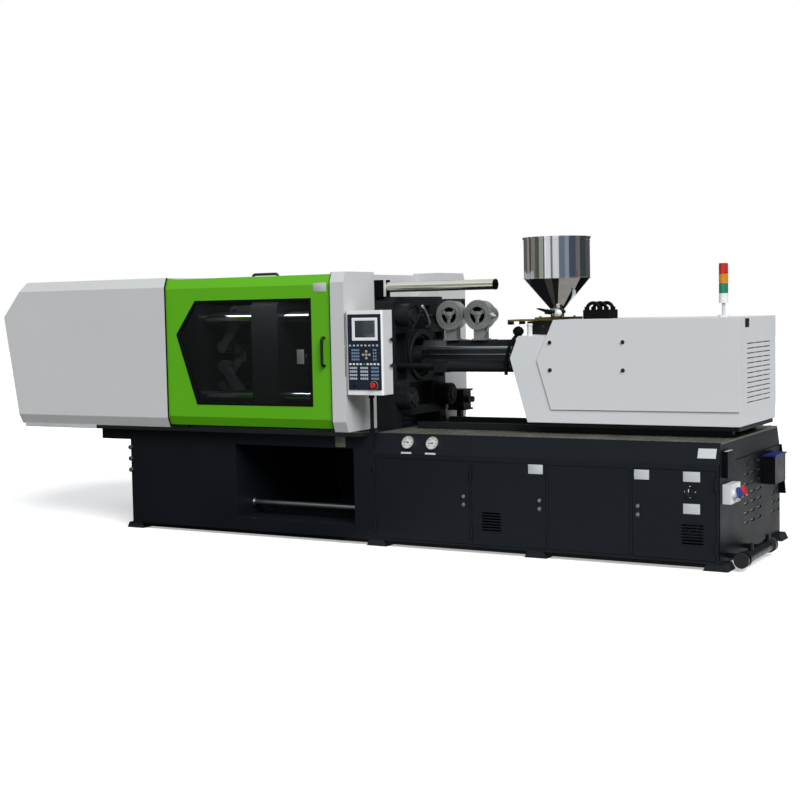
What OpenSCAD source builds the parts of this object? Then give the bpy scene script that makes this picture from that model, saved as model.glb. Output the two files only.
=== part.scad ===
// Horizontal injection moulding machine with a toggle clamp, a guarded mould area,
// a carriage-mounted injection unit and a hopper. Millimetres, +Z up, floor at z = 0.
// +X runs to the injection end, the operator stands on the -Y side.

/* [Bases] */
// Width of both machine bases
base_w = 1470; // [1400:5:1520]
// Length of the clamp base, from the joint of the two bases to its left end
clamp_base_l = 2265; // [2240:5:2400]
// Length of the injection base
inj_base_l = 2549; // [2520:1:2640]
// Height of the deck above the floor
deck_z = 820; // [790:5:860]
// Height of the machine mounts, up to the underside of the bases
pad_h = 45; // [35:1:60]
// Length of a machine mount at the floor
pad_l = 165; // [140:5:190]
// Reach of the ledge at the top left end of the clamp base
ledge_l = 295; // [260:5:320]
// Height of that ledge
ledge_h = 106; // [80:2:130]
// Height of the hardened way strips under the platens
way_h = 10; // [6:1:16]

/* [Drop opening] */
// Distance from the joint of the bases to the product opening
drop_gap = 165; // [150:5:200]
// Length of the product opening
drop_l = 1066; // [1000:2:1090]
// Bottom edge of the product opening above the floor
drop_z0 = 142; // [110:2:180]
// Depth of the base's top rail above the product opening
drop_lintel = 116; // [95:2:140]
// Thickness of the wall behind the product opening
drop_back_t = 15; // [10:1:25]

/* [Guards] */
// Width over the guards
guard_w = 1670; // [1650:2:1720]
// Top of the guards above the deck
guard_h = 1170; // [1140:5:1200]
// Distance from the joint to the left tip of the hood
hood_reach = 3505; // [3460:5:3560]
// Length of the hood along its roof
hood_roof_l = 1462; // [1420:2:1500]
// Length of the hood along its lower edge
hood_foot_l = 1566; // [1540:2:1600]
// Height of the hood's left tip above the deck
hood_nose_h = 890; // [840:5:930]
// Distance from the joint to the left edge of the doorway
doorway_far = 1796; // [1780:2:1810]
// Distance from the joint to the right edge of the doorway
doorway_near = 273; // [262:1:285]
// Distance from the joint to the right face of the front column
column_near = 158; // [145:1:170]
// Distance from the joint to the right face of the rear column
rear_column_near = 35; // [25:1:60]
// Height of the folded edge along the top and bottom of the guards
fold_h = 75; // [65:1:85]
// Depth of that folded edge
fold_d = 29; // [24:1:34]
// Thickness of the hood's folded sheet
guard_wall = 10; // [6:1:10]
// Set-back of the sliding doors behind the hood
door_inset = 14; // [14:1:18]
// Thickness of the sliding doors
door_wall = 10; // [6:1:12]
// Height of the slide shoes under the sliding doors
shoe_h = 14; // [14:1:20]
// Travel of the sliding doors
door_travel = 1360; // [1200:10:1360]

/* [Door window] */
// Left edge of the window, from the joint
win_far = 1503; // [1490:1:1520]
// Right edge of the window, from the joint
win_near = 462; // [450:1:475]
// Reach of the window's pointed left end, from the joint
win_tip = 1681; // [1660:1:1695]
// Height of that point above the deck
win_tip_h = 727; // [690:1:760]
// Lower edge of the window above the deck
win_low_h = 206; // [190:1:225]
// Upper edge of the window above the deck
win_top_h = 971; // [950:1:990]
// Thickness of the window pane
pane_t = 6; // [4:1:8]

/* [Clamp] */
// Height of the machine axis above the deck
axis_h = 535; // [525:1:545]
// Half width of the platens
platen_hw = 400; // [390:1:410]
// Half height of the platens
platen_hh = 448; // [440:1:455]
// Thickness of the fixed and the moving platen
platen_t = 250; // [240:2:260]
// Thickness of the tail platen
tail_t = 280; // [260:2:300]
// Tie bar pitch
tie_pitch = 620; // [610:2:630]
// Tie bar radius
tie_r = 47.5; // [44:0.5:50]
// Mould space between the platens when the clamp is open
daylight = 790; // [780:2:800]
// Opening stroke of the clamp
stroke = 540; // [530:2:540]
// Travel of the tail platen away from the mould
mould_adjust = 300; // [260:5:300]
// Length of the rear toggle links
rear_link = 300; // [295:1:305]
// Length of the front toggle links
front_link = 360; // [355:1:365]
// Half distance between the upper and lower link pivots
pivot_h = 360; // [350:1:365]
// Radius of the toggle pins
pin_r = 28; // [24:1:30]
// Radius of the link eyes
eye_r = 50; // [45:1:52]
// Thickness of a toggle link plate
link_t = 40; // [36:1:40]
// Gap between the toggle link plates
link_gap = 5; // [3:0.5:5]
// Stroke of the crosshead
cross_stroke = 280; // [270:1:285]
// Ejector stroke
eject_stroke = 120; // [90:5:120]

/* [Injection unit] */
// Radius of the barrel
barrel_r = 75; // [70:1:80]
// Screw radius
screw_r = 34.7; // [30:0.1:36]
// Retreat of the injection carriage
carriage_back = 350; // [300:10:360]
// Advance of the injection carriage
carriage_fwd = 30; // [10:1:30]
// Screw stroke
screw_stroke = 240; // [200:5:250]
// Width over the injection cover
cover_w = 880; // [860:2:900]
// Distance from the joint to the cover's right end
cover_end = 2602; // [2580:1:2640]
// Height of the cover's roof above the deck
cover_h = 795; // [785:1:800]
// Length of the barrel guard
sleeve_l = 755; // [720:1:760]
// Radius of the blower casings
blower_r = 106; // [98:1:108]
// Distance between the two blowers
blower_pitch = 236; // [226:1:240]
// Distance from the joint to the hopper axis
hopper_x = 1142; // [1130:1:1150]
// Radius of the hopper drum
hopper_r = 238; // [225:1:255]
// Height of the hopper drum
drum_h = 295; // [280:1:310]
// Height of the hopper cone
cone_h = 220; // [200:1:240]
// Sheet thickness of the hopper
hopper_wall = 4; // [3:0.5:5]
// Travel of the hopper on its slide plate
hopper_travel = 220; // [180:5:220]
// Height of one lens of the light tower
lens_h = 66; // [60:1:70]

/* [Cabinet] */
// Width of the first cabinet door
door_1_w = 761; // [740:1:770]
// Width of the second cabinet door
door_2_w = 559; // [540:1:570]
// Width of the fixed panel between the second and the last door
panel_3_w = 580; // [560:1:600]
// Height of the cabinet doors
cab_door_h = 577; // [560:1:580]
// Thickness of the cabinet doors
cab_door_t = 11.5; // [8:0.5:11.5]
// Depth of the cabinet compartments
cab_depth = 400; // [350:5:450]

/* [Control panel] */
// Width of the control box
panel_w = 301; // [290:1:310]
// Height of the control box
panel_h = 605; // [590:1:620]
// Depth of the control box
panel_d = 155; // [140:1:160]
// Travel of the emergency stop button
stop_travel = 6; // [4:0.5:8]

/* [Clearances] */
// Radial clearance of a sliding or turning fit
fit = 0.1; // [0.05:0.01:0.15]
// Gap between parts that pass each other
gap = 3; // [2:0.5:4]

/* [Hidden] */
$fn = 64;

// Frame of reference: the origin is under the middle of the machine,
// and the sizes below are counted from the joint of the two bases.
cooler_out = 136;
cooler_flange_r = 50;
tail_reach = inj_base_l + cooler_out + cooler_flange_r;
joint_x = (hood_reach - tail_reach) / 2;

// Bases
base_hw = base_w / 2;
fascia_h = 140;
fascia_lean = 61;
fascia_t = 6;
deck_t = 12;
deck_under = deck_z - deck_t;
fascia_z = deck_z - fascia_h;
base_end = -clamp_base_l - ledge_l;
drop_z1 = deck_z - drop_lintel;
pad_w = 165;
pad_taper = 22;
pad_inset = 20;
pad_joint_x = 14;

// Guards
guard_hw = guard_w / 2;
rail_h = 28;
rail_rise = 8;
rail_top = deck_z + rail_rise;
rail_out = guard_hw - fold_d + 4;
guard_top = deck_z + guard_h;
hood_roof_x = -doorway_far - hood_roof_l;
hood_foot_x = -doorway_far - hood_foot_l;
hood_nose_z = deck_z + hood_nose_h;
door_lap = 20;
door_hw = guard_hw - door_inset;
door_x0 = -doorway_far - door_lap;
door_x1 = -doorway_near - 2;
door_z0 = rail_top + shoe_h;
door_z1 = guard_top - door_inset;
door_lip = 60;
top_rail_out = door_hw - door_lip - 5;
top_rail_w = 56;
top_rail_h = 30;
rail_stop = 156;
top_rail_stop = 42;
roof_t = 10;
top_rail_top = door_z1 - 26;
roof_hw = top_rail_out - 26;
hanger_w = 18;
column_in = platen_hw + 2;

// Clamp
axis_z = deck_z + axis_h;
tie_h = tie_pitch / 2;
foot_z = deck_z + way_h;
lug_l = 200;
lug_t = 50;
lug_in = 80;
move_x1 = -platen_t - daylight;
move_x0 = move_x1 - platen_t;
move_pivot = move_x0 - lug_l;
open_d = rear_link + front_link - stroke;
tail_pivot = move_pivot - open_d;
tail_x1 = tail_pivot - lug_l;
tail_x0 = tail_x1 - tail_t;
knee_dx = (open_d * open_d + rear_link * rear_link - front_link * front_link) / (2 * open_d);
knee_dz = sqrt(rear_link * rear_link - knee_dx * knee_dx);
rear_turn = atan2(knee_dz, knee_dx);
front_turn = atan2(knee_dz, open_d - knee_dx);
arm_l = 200;
arm_angle = 30;
arm_eye_r = 36;
cross_pin_h = 60;
cross_pin_r = 18;
arm_open = [tail_pivot + arm_l * cos(arm_angle + rear_turn), pivot_h - arm_l * sin(arm_angle + rear_turn)];
arm_shut = [tail_pivot + arm_l * cos(arm_angle) - cross_stroke, pivot_h - arm_l * sin(arm_angle)];
arm_shift = arm_shut[0] - arm_open[0];
rise_open = arm_open[1] - cross_pin_h;
rise_shut = arm_shut[1] - cross_pin_h;
cross_dx = (rise_open * rise_open - rise_shut * rise_shut - arm_shift * arm_shift) / (2 * arm_shift);
cross_x = arm_open[0] - cross_dx;
cross_link = sqrt(cross_dx * cross_dx + rise_open * rise_open);
cross_open = atan2(rise_open, cross_dx);
lug_out = lug_in + lug_t;
rear_y0 = lug_out + link_gap;
rear_y1 = rear_y0 + link_t;
front_y0 = rear_y1 + link_gap;
front_y1 = front_y0 + link_t;
move_lug_y0 = front_y1 + link_gap;
move_lug_y1 = tie_h - tie_r - 7;
cross_y1 = lug_out;
cross_y0 = cross_y1 - 35;
cross_hw = cross_y0 - link_gap;
cross_hl = 60;
guide_y = 65;
guide_r = 18;
rod_r = 30;
piston_r = 70;
clamp_cyl_r = 110;
clamp_cyl_l = 480;
eject_r = 20;
eject_bore = 32;
eject_cyl_r = 44;
eject_cyl_l = eject_stroke + 60;
way_y0 = 300;
nut_r = 85;
nut_l = 110;
locate_r = 80;
locate_depth = 30;
nozzle_way_r = 60;
mould_hole_r = 10;
mould_hole_depth = 45;
mould_hole_y = 210;
mould_hole_z = 280;
robot_hole_r = 8;
robot_x = 70;
robot_y = 140;
safety_y = -350;
safety_z = axis_z + platen_hh + 72;
safety_r = 25;
tube_r = 37;
tube_l = 890;
tube_x0 = -80;
safety_end = 225;

// Injection unit
carriage_z = deck_z + 50;
plate_t = 31;
cover_z0 = carriage_z + plate_t;
cover_z1 = deck_z + cover_h;
cover_hw = cover_w / 2;
nozzle_gap = 5;
nozzle_x = -platen_t + carriage_fwd + nozzle_gap;
nozzle_r = 40;
barrel_x0 = -60;
house_x0 = hopper_x - 32;
house_x1 = house_x0 + 180;
pull_y = 250;
pull_z = axis_z - 70;
pull_rod_r = 22;
pull_bore = 30;
pull_r = 42;
pull_x0 = 270;
pull_head_l = 40;
pull_overlap = 240;
pull_rod_end = pull_x0 + pull_head_l + carriage_back + pull_overlap;
sleeve_x0 = 95;
sleeve_hw = 150;
sleeve_z0 = axis_z - 118;
sleeve_z1 = axis_z + 117;
sleeve_t = 5;
blower_x = sleeve_x0 + 246;
blower_z = sleeve_z1 + 184;
blower_y0 = -165;
blower_y1 = -65;
blower_motor_r = 62;
blower_motor_l = 130;
fan_r = blower_r - 14;
fan_shaft_r = 8;
guide_bar_r = 30;
guide_bar_y = 230;
drive_x0 = house_x1 + 60;
drive_x1 = drive_x0 + 160;
drive_motor_l = 330;
drive_motor_r = 140;
shank_r = 30;
step_z = axis_z + 151;
slide_z = axis_z + 250;
slide_t = 13;
hopper_flange_l = 122;
hopper_flange_r = 143;
slide_x0 = hopper_x - hopper_flange_l - hopper_travel - 5;
slide_hw = 110;
flange_t = 14;
flange_hw = 130;
neck_r = 50;
neck_h = 58;

// Cabinet
cab_edge = 16;
cab_gap = 20;
cab_z0 = pad_h + 20;
cab_z1 = cab_z0 + cab_door_h;
cab_rim = 25;
cab_recess = cab_door_t + 1;
hinge_r = 8;
hinge_pin_r = 4;
hinge_l = 40;
hinge_inset = 85;
hinge_y = -base_hw - hinge_r - 0.5;
door_1_x0 = cab_edge;
door_1_x1 = door_1_x0 + door_1_w;
door_2_x0 = door_1_x1 + cab_gap;
door_2_x1 = door_2_x0 + door_2_w;
panel_3_x0 = door_2_x1 + cab_gap;
panel_3_x1 = panel_3_x0 + panel_3_w;
door_4_x0 = panel_3_x1 + cab_gap;
door_4_x1 = inj_base_l - cab_edge;
switch_x = door_4_x1 - 166;
switch_z = cab_z0 + 440;
switch_shaft_r = 8;

// Control panel
panel_x0 = -column_near + 13;
panel_x1 = panel_x0 + panel_w;
panel_z0 = deck_z + 283;
panel_z1 = panel_z0 + panel_h;
panel_y0 = -guard_hw;
panel_y1 = panel_y0 + panel_d;
stop_x = panel_x1 - 69;
stop_up = 70;
stop_z = panel_z0 + stop_up;
stop_r = 20;
stop_stem_r = 11;

// Moves what is counted from the joint of the bases into the part's own frame
module from_joint() { translate([joint_x, 0, 0]) children(); }

// Box given by its two corners
module block(x0, x1, y0, y1, z0, z1) {
    translate([x0, y0, z0]) cube([x1 - x0, y1 - y0, z1 - z0]);
}

// Round bar along X
module rod_x(x0, x1, y, z, r) {
    translate([x0, y, z]) rotate([0, 90, 0]) cylinder(h = x1 - x0, r = r);
}

// Round bar along Y
module rod_y(y0, y1, x, z, r) {
    translate([x, y0, z]) rotate([-90, 0, 0]) cylinder(h = y1 - y0, r = r);
}

// Round bar along Z
module rod_z(z0, z1, x, y, r) {
    translate([x, y, z0]) cylinder(h = z1 - z0, r = r);
}

// Outline in X and Z, drawn out along Y
module side_prism(y0, y1) {
    translate([0, y1, 0]) rotate([90, 0, 0]) linear_extrude(y1 - y0) children();
}

// Outline in Y and Z, drawn out along X
module end_prism(x0, x1) {
    translate([x0, 0, 0]) rotate([90, 0, 90]) linear_extrude(x1 - x0) children();
}

// Profile in radius and X, turned about an axis along X
module turned_x(y, z) {
    translate([0, y, z]) rotate([0, 90, 0]) rotate_extrude() children();
}

// The same shape on the front and on the rear side
module both_sides() {
    children();
    mirror([0, 1, 0]) children();
}

// The same shape above and below the machine axis
module lower_twin() { translate([0, 0, 2 * axis_z]) mirror([0, 0, 1]) children(); }

// The four tie bar places
module at_ties() {
    for (y = [-tie_h, tie_h], z = [-tie_h, tie_h])
        translate([0, y, axis_z + z]) children();
}

// Section across the guards: an octagon with folded edges at top and bottom
function guard_section(hw, z0, z1) = [
    [-hw, z0 + fold_h], [-hw, z1 - fold_h], [-hw + fold_d, z1], [hw - fold_d, z1],
    [hw, z1 - fold_h], [hw, z0 + fold_h], [hw - fold_d, z0], [-hw + fold_d, z0]
];

// Section of a sliding door on the front side, as one folded sheet
function door_section(hw, z0, z1, t) = [
    [-hw, z0 + fold_h], [-hw, z1 - fold_h], [-hw + fold_d, z1], [-hw + door_lip, z1],
    [-hw + door_lip, z1 - t], [-hw + fold_d + t * 0.7, z1 - t], [-hw + t, z1 - fold_h],
    [-hw + t, z0 + fold_h], [-hw + fold_d + t * 0.7, z0 + t], [-hw + door_lip, z0 + t],
    [-hw + door_lip, z0], [-hw + fold_d, z0]
];

// Outline of the hood seen from the side
function hood_outline(right, w) = [
    [right, rail_top - (w > 0 ? 1 : 0)], [right, guard_top - w], [hood_roof_x + 0.4 * w, guard_top - w],
    [-hood_reach + 1.3 * w, hood_nose_z], [hood_foot_x + w, rail_top - (w > 0 ? 1 : 0)]
];

// Outline of the door window
window_points = [
    [-win_far, deck_z + win_top_h], [-win_near, deck_z + win_top_h], [-win_near, deck_z + win_low_h],
    [-win_far, deck_z + win_low_h], [-win_tip, deck_z + win_tip_h]
];

// Depth of the leaning fascia at a height
function lean_y(z) = -base_hw + fascia_lean * (z - fascia_z) / fascia_h;
deck_hw = base_hw - fascia_lean - fascia_t;

module clamp_base() {
    chute_hw = way_y0 - 20;
    brace_r = 20;
    brace_y = -base_hw + 235;
    color("#1b2026") from_joint() {
        difference() {
            union() {
                block(-clamp_base_l, 0, -base_hw, base_hw, pad_h, deck_z);
                block(base_end, -clamp_base_l, -base_hw, base_hw, deck_z - ledge_h, deck_z);
                both_sides() block(base_end + 60, -platen_t - 20, -platen_hw, -way_y0, deck_z, foot_z);
            }
            block(-drop_gap - drop_l, -drop_gap, -base_hw - 1, base_hw - drop_back_t, drop_z0, drop_z1);
            block(move_x1 + 40, -platen_t - 50, -chute_hw, chute_hw, drop_z1 - 1, deck_z + 1);
        }
        rod_x(-drop_gap - drop_l - 5, -drop_gap + 5, brace_y, drop_z0 + 90, brace_r);
    }
}

// Fixed half of a cabinet hinge: two knuckles and the pin between them
module base_hinge(x, side, z) {
    knuckle = 18;
    for (s = [-1, 1]) translate([x, hinge_y, z + s * (hinge_l / 2 + 0.4 + knuckle / 2)]) {
        cylinder(h = knuckle, r = hinge_r, center = true);
        translate([side > 0 ? 0 : -hinge_r, 0, -knuckle / 2])
            cube([hinge_r, -base_hw - hinge_y + 1, knuckle]);
    }
    rod_z(z - hinge_l / 2 - knuckle, z + hinge_l / 2 + knuckle, x, hinge_y, hinge_pin_r);
}

// Recess and compartment behind a cabinet door
module cabinet_bay(x0, x1) {
    block(x0 - gap, x1 + gap, -base_hw - 1, -base_hw + cab_recess, cab_z0 - gap, cab_z1 + gap);
    block(x0 + cab_rim, x1 - cab_rim, -base_hw, -base_hw + cab_depth, cab_z0 + cab_rim, cab_z1 - cab_rim);
}

module injection_base() {
    section = [
        [-base_hw, pad_h], [-base_hw, fascia_z], [-base_hw + fascia_t, fascia_z],
        [lean_y(deck_under) + fascia_t, deck_under], [-lean_y(deck_under) - fascia_t, deck_under],
        [base_hw - fascia_t, fascia_z], [base_hw, fascia_z], [base_hw, pad_h]
    ];
    groove = 3;
    color("#1b2026") from_joint() {
        difference() {
            end_prism(0, inj_base_l) polygon(section);
            cabinet_bay(door_1_x0, door_1_x1);
            cabinet_bay(door_2_x0, door_2_x1);
            cabinet_bay(door_4_x0, door_4_x1);
            for (x = [panel_3_x0, panel_3_x1 - groove])
                block(x, x + groove, -base_hw - 1, -base_hw + groove, cab_z0, cab_z1);
            for (z = [cab_z0, cab_z1 - groove])
                block(panel_3_x0, panel_3_x1, -base_hw - 1, -base_hw + groove, z, z + groove);
            for (field = vent_fields) vent_pocket(field);
        }
        for (z = [cab_z0 + hinge_inset, cab_z1 - hinge_inset]) {
            base_hinge(door_1_x0 - 4, -1, z);
            base_hinge(door_2_x0 - 4, -1, z);
            base_hinge(door_4_x1 + 4, 1, z);
        }
    }
}

module levelling_pads() {
    foot = [[-pad_l / 2, 0], [pad_l / 2, 0], [pad_l / 2 - pad_taper, pad_h], [-pad_l / 2 + pad_taper, pad_h]];
    color("#16191d") from_joint()
        for (x = [-clamp_base_l + pad_inset, pad_joint_x, inj_base_l / 2, inj_base_l - pad_inset], s = [-1, 1])
            translate([x, s * (base_hw - pad_w / 2), 0]) side_prism(-pad_w / 2, pad_w / 2) polygon(foot);
}

module tread_deck() {
    rib_pitch = 60;
    rib_w = 10;
    rib_h = 4;
    rib_in = 300;
    color("#2a2f35") from_joint() {
        block(0, inj_base_l, -deck_hw, deck_hw, deck_under, deck_z);
        both_sides() for (x = [40 : rib_pitch : inj_base_l - 40])
            block(x, x + rib_w, -deck_hw + 12, -rib_in, deck_z, deck_z + rib_h);
    }
}

module fascia_covers() {
    section = [
        [-base_hw, fascia_z], [lean_y(deck_z), deck_z], [-deck_hw, deck_z], [-deck_hw, deck_under],
        [lean_y(deck_under) + fascia_t, deck_under], [-base_hw + fascia_t, fascia_z]
    ];
    color("#1d2228") from_joint() both_sides() end_prism(0, inj_base_l) polygon(section);
}

module pressure_gauges() {
    dial_r = 48;
    dial_t = 26;
    dial_z = fascia_z + 73;
    lean = atan2(fascia_lean, fascia_h);
    dial_x = 286;
    dial_pitch = 198;
    color("#c9cdd0") from_joint() for (x = [dial_x, dial_x + dial_pitch])
        translate([x, lean_y(dial_z), dial_z]) rotate([90 - lean, 0, 0]) difference() {
            cylinder(h = dial_t, r = dial_r);
            translate([0, 0, dial_t - 4]) cylinder(h = 5, r = dial_r - 6);
        }
}

// Punched vents in the right end of the base: columns, rows, first middle point, pitches and slot width
vent_fields = [
    [3, 7, [-140, 232], [160, 65.5], 96],
    [2, 3, [535, 222], [120, 64], 72]
];
vent_slot_h = 16;
vent_depth = 150;
vent_rim = 20;
panel_t = 6;
end_face = inj_base_l + panel_t;

// Pocket behind a field of vents
module vent_pocket(field) {
    y = field[2][0] - field[4] / 2 - vent_rim;
    z = field[2][1] - vent_slot_h / 2 - vent_rim;
    w = (field[0] - 1) * field[3][0] + field[4] + 2 * vent_rim;
    h = (field[1] - 1) * field[3][1] + vent_slot_h + 2 * vent_rim;
    block(inj_base_l - vent_depth, inj_base_l + 1, y, y + w, z, z + h);
}

module vent_slots(field) {
    for (column = [0 : field[0] - 1], row = [0 : field[1] - 1]) {
        y = field[2][0] + column * field[3][0] - field[4] / 2;
        z = field[2][1] + row * field[3][1] - vent_slot_h / 2;
        block(inj_base_l - 1, end_face + 1, y, y + field[4], z, z + vent_slot_h);
    }
}

module end_panel() {
    margin = 20;
    duct_t = 30;
    duct_y0 = -640;
    duct_w = 160;
    duct_z0 = fascia_z - 90;
    duct_h = 170;
    shield_t = 12;
    shield_z0 = 325;
    shield = [
        [inj_base_l - 60, fascia_z], [inj_base_l + 15, fascia_z],
        [inj_base_l + 43, shield_z0], [inj_base_l - 60, shield_z0]
    ];
    color("#1d2228") from_joint() {
        difference() {
            block(inj_base_l, end_face, -base_hw + margin, base_hw - margin, pad_h + margin, fascia_z);
            for (field = vent_fields) vent_slots(field);
        }
        block(end_face, end_face + duct_t, duct_y0, duct_y0 + duct_w, duct_z0, fascia_z);
        block(inj_base_l, end_face + duct_t, duct_y0, duct_y0 + duct_w, fascia_z, duct_z0 + duct_h);
        side_prism(base_hw, base_hw + shield_t) polygon(shield);
    }
}

module socket_station() {
    box_w = 210;
    box_h = 125;
    box_d = 55;
    box_y = -660;
    box_z = 425;
    lid_r = 34;
    color("#dfe2e3") from_joint() {
        block(end_face, end_face + box_d, box_y, box_y + box_w, box_z, box_z + box_h);
        for (y = [0.27, 0.73]) {
            translate([end_face + box_d - 4, box_y + y * box_w, box_z + box_h * 0.45]) rotate([0, 70, 0]) {
                cylinder(h = 46, r = lid_r - 5);
                translate([0, 0, 40]) cylinder(h = 14, r = lid_r);
            }
        }
    }
}

module junction_box() {
    box_y = 280;
    box_w = 270;
    box_z = 445;
    box_h = 191;
    box_d = 85;
    lid_t = 12;
    lap = 8;
    top = box_z + box_h;
    color("#23282e") from_joint() {
        block(end_face, end_face + box_d, box_y, box_y + box_w, box_z, top);
        block(end_face, end_face + box_d + lap, box_y - lap, box_y + box_w + lap, top, top + lid_t);
    }
}

module oil_cooler() {
    shell_r = 38;
    shell_l = 700;
    flange_l = 26;
    cooler_x = inj_base_l + cooler_out;
    cooler_z = cooler_flange_r + 25;
    port_r = 16;
    color("#8f979c") from_joint() {
        rod_y(-shell_l, 0, cooler_x, cooler_z, shell_r);
        for (y = [-shell_l, -shell_l + 60, -60, -flange_l])
            rod_y(y, y + flange_l, cooler_x, cooler_z, cooler_flange_r);
        for (y = [-shell_l + 150, -150]) {
            block(end_face, cooler_x, y, y + 30, cooler_z - 15, cooler_z + 15);
            rod_z(cooler_z, cooler_z + shell_r + 40, cooler_x, y + 75, port_r);
        }
    }
}

module clamp_hood() {
    color("#d3d6d7") from_joint() difference() {
        intersection() {
            side_prism(-guard_hw, guard_hw) polygon(hood_outline(-doorway_far, 0));
            end_prism(-hood_reach, -doorway_far) polygon(guard_section(guard_hw, rail_top, guard_top));
        }
        intersection() {
            side_prism(-guard_hw, guard_hw) polygon(hood_outline(-doorway_far + 1, guard_wall));
            end_prism(-hood_reach, -doorway_far + 1)
                polygon(guard_section(guard_hw - guard_wall, rail_top - guard_wall, guard_top - guard_wall));
        }
    }
}

module column_covers() {
    section = [
        [-guard_hw, rail_top + fold_h], [-guard_hw, guard_top - fold_h], [-guard_hw + fold_d, guard_top],
        [-column_in, guard_top], [-column_in, rail_top], [-guard_hw + fold_d, rail_top]
    ];
    bridge_x = -platen_t + 2;
    bridge_t = 12;
    bridge_drop = 15;
    bridge_foot = axis_z + platen_hh + 4;
    bar_room = 12;
    color("#d3d6d7") from_joint() {
        end_prism(-doorway_near, -column_near) polygon(section);
        mirror([0, 1, 0]) end_prism(-doorway_near, -rear_column_near) polygon(section);
        difference() {
            block(bridge_x, bridge_x + bridge_t, -column_in - 1, column_in + 1, bridge_foot, guard_top - bridge_drop);
            rod_x(bridge_x - 1, bridge_x + bridge_t + 1, safety_y, safety_z, safety_r + bar_room);
        }
    }
}

module door_rails() {
    hanger_l = 40;
    x0 = door_x0 - door_travel - rail_stop;
    top_x0 = door_x0 - door_travel - top_rail_stop;
    hanger_z1 = guard_top - guard_wall;
    color("#9aa1a6") from_joint() both_sides() {
        block(x0, -rear_column_near, -rail_out, -base_hw, rail_top - rail_h, rail_top);
        block(top_x0, -doorway_near, -top_rail_out, -top_rail_out + top_rail_w,
              top_rail_top - top_rail_h, top_rail_top);
        for (x = [top_x0 + 20, -doorway_far - hanger_l - 20])
            block(x, x + hanger_l, -top_rail_out, -top_rail_out + hanger_w, top_rail_top, hanger_z1);
    }
}

module control_box() {
    edge = 10;
    outline = [
        [panel_x0, panel_y0 + edge], [panel_x0 + edge, panel_y0], [panel_x1 - edge, panel_y0],
        [panel_x1, panel_y0 + edge], [panel_x1, panel_y1 - edge], [panel_x1 - edge, panel_y1],
        [panel_x0 + edge, panel_y1], [panel_x0, panel_y1 - edge]
    ];
    color("#c4c8ca") from_joint() difference() {
        union() {
            translate([0, 0, panel_z0]) linear_extrude(panel_h) polygon(outline);
            block(-column_near, panel_x0 + 1, panel_y0 + 40, panel_y1 - 40, panel_z0 + 120, panel_z1 - 120);
        }
        rod_y(panel_y0 - 1, panel_y0 + 45, stop_x, stop_z, stop_stem_r + fit);
    }
}

// Key panel: a moulded plate with the screen recess and the emergency stop's collar
key_plate_t = 6;
key_face = panel_y0 - key_plate_t;
stop_collar_t = 3;

module key_panel() {
    margin = 20;
    bezel = [panel_x0 + 55, panel_x1 - 26, panel_z1 - 218, panel_z1 - 51];
    screen_rim = 24;
    color("#3c4148") from_joint() difference() {
        union() {
            block(panel_x0 + margin, panel_x1 - margin + 12, key_face, panel_y0, panel_z0 + 38, panel_z1 - 27);
            block(bezel[0], bezel[1], key_face - 3, panel_y0, bezel[2], bezel[3]);
            rod_y(key_face - stop_collar_t, panel_y0, stop_x, stop_z, stop_r + 9);
        }
        block(bezel[0] + screen_rim, bezel[1] - screen_rim, key_face - 4, key_face + 2,
              bezel[2] + screen_rim * 0.9, bezel[3] - screen_rim * 0.9);
        rod_y(key_face - 5, panel_y0 + 1, stop_x, stop_z, stop_stem_r + fit);
    }
}

module panel_conduit() {
    conduit_r = 14;
    collar_r = 21;
    conduit_x = -20;
    conduit_y = panel_y1 - 22;
    color("#1a1c1e") from_joint() {
        rod_z(deck_z, panel_z0, conduit_x, conduit_y, conduit_r);
        rod_z(deck_z, deck_z + 30, conduit_x, conduit_y, collar_r);
        rod_z(panel_z0 - 30, panel_z0, conduit_x, conduit_y, collar_r);
    }
}

// Cast platen plate with chamfered corners, standing on two feet
module platen_plate(x0, x1, feet_z) {
    corner = 40;
    hw = platen_hw;
    hh = platen_hh;
    outline = [
        [-hw + corner, -hh], [hw - corner, -hh], [hw, -hh + corner], [hw, hh - corner],
        [hw - corner, hh], [-hw + corner, hh], [-hw, hh - corner], [-hw, -hh + corner]
    ];
    translate([0, 0, axis_z]) end_prism(x0, x1) polygon(outline);
    both_sides() block(x0, x1, -hw, -way_y0, feet_z, axis_z - hh + corner + 20);
}

// Cast pockets between the ribs of a platen's back
module platen_pockets(x0, x1) {
    inner = 200;
    half = 175;
    rim = 70;
    for (s = [-1, 1]) {
        z = [axis_z + s * inner, axis_z + s * (platen_hh - rim)];
        y = [s * (inner + 15), s * (platen_hw - rim + 40)];
        block(x0, x1, -half, half, min(z), max(z));
        block(x0, x1, min(y), max(y), axis_z - half, axis_z + half);
    }
}

// Tapped holes for clamping a mould, drilled along X from a platen face
module mould_holes(x0, x1) {
    for (y = [-mould_hole_y, mould_hole_y], z = [-mould_hole_z, mould_hole_z])
        rod_x(x0, x1, y, axis_z + z, mould_hole_r);
}

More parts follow.
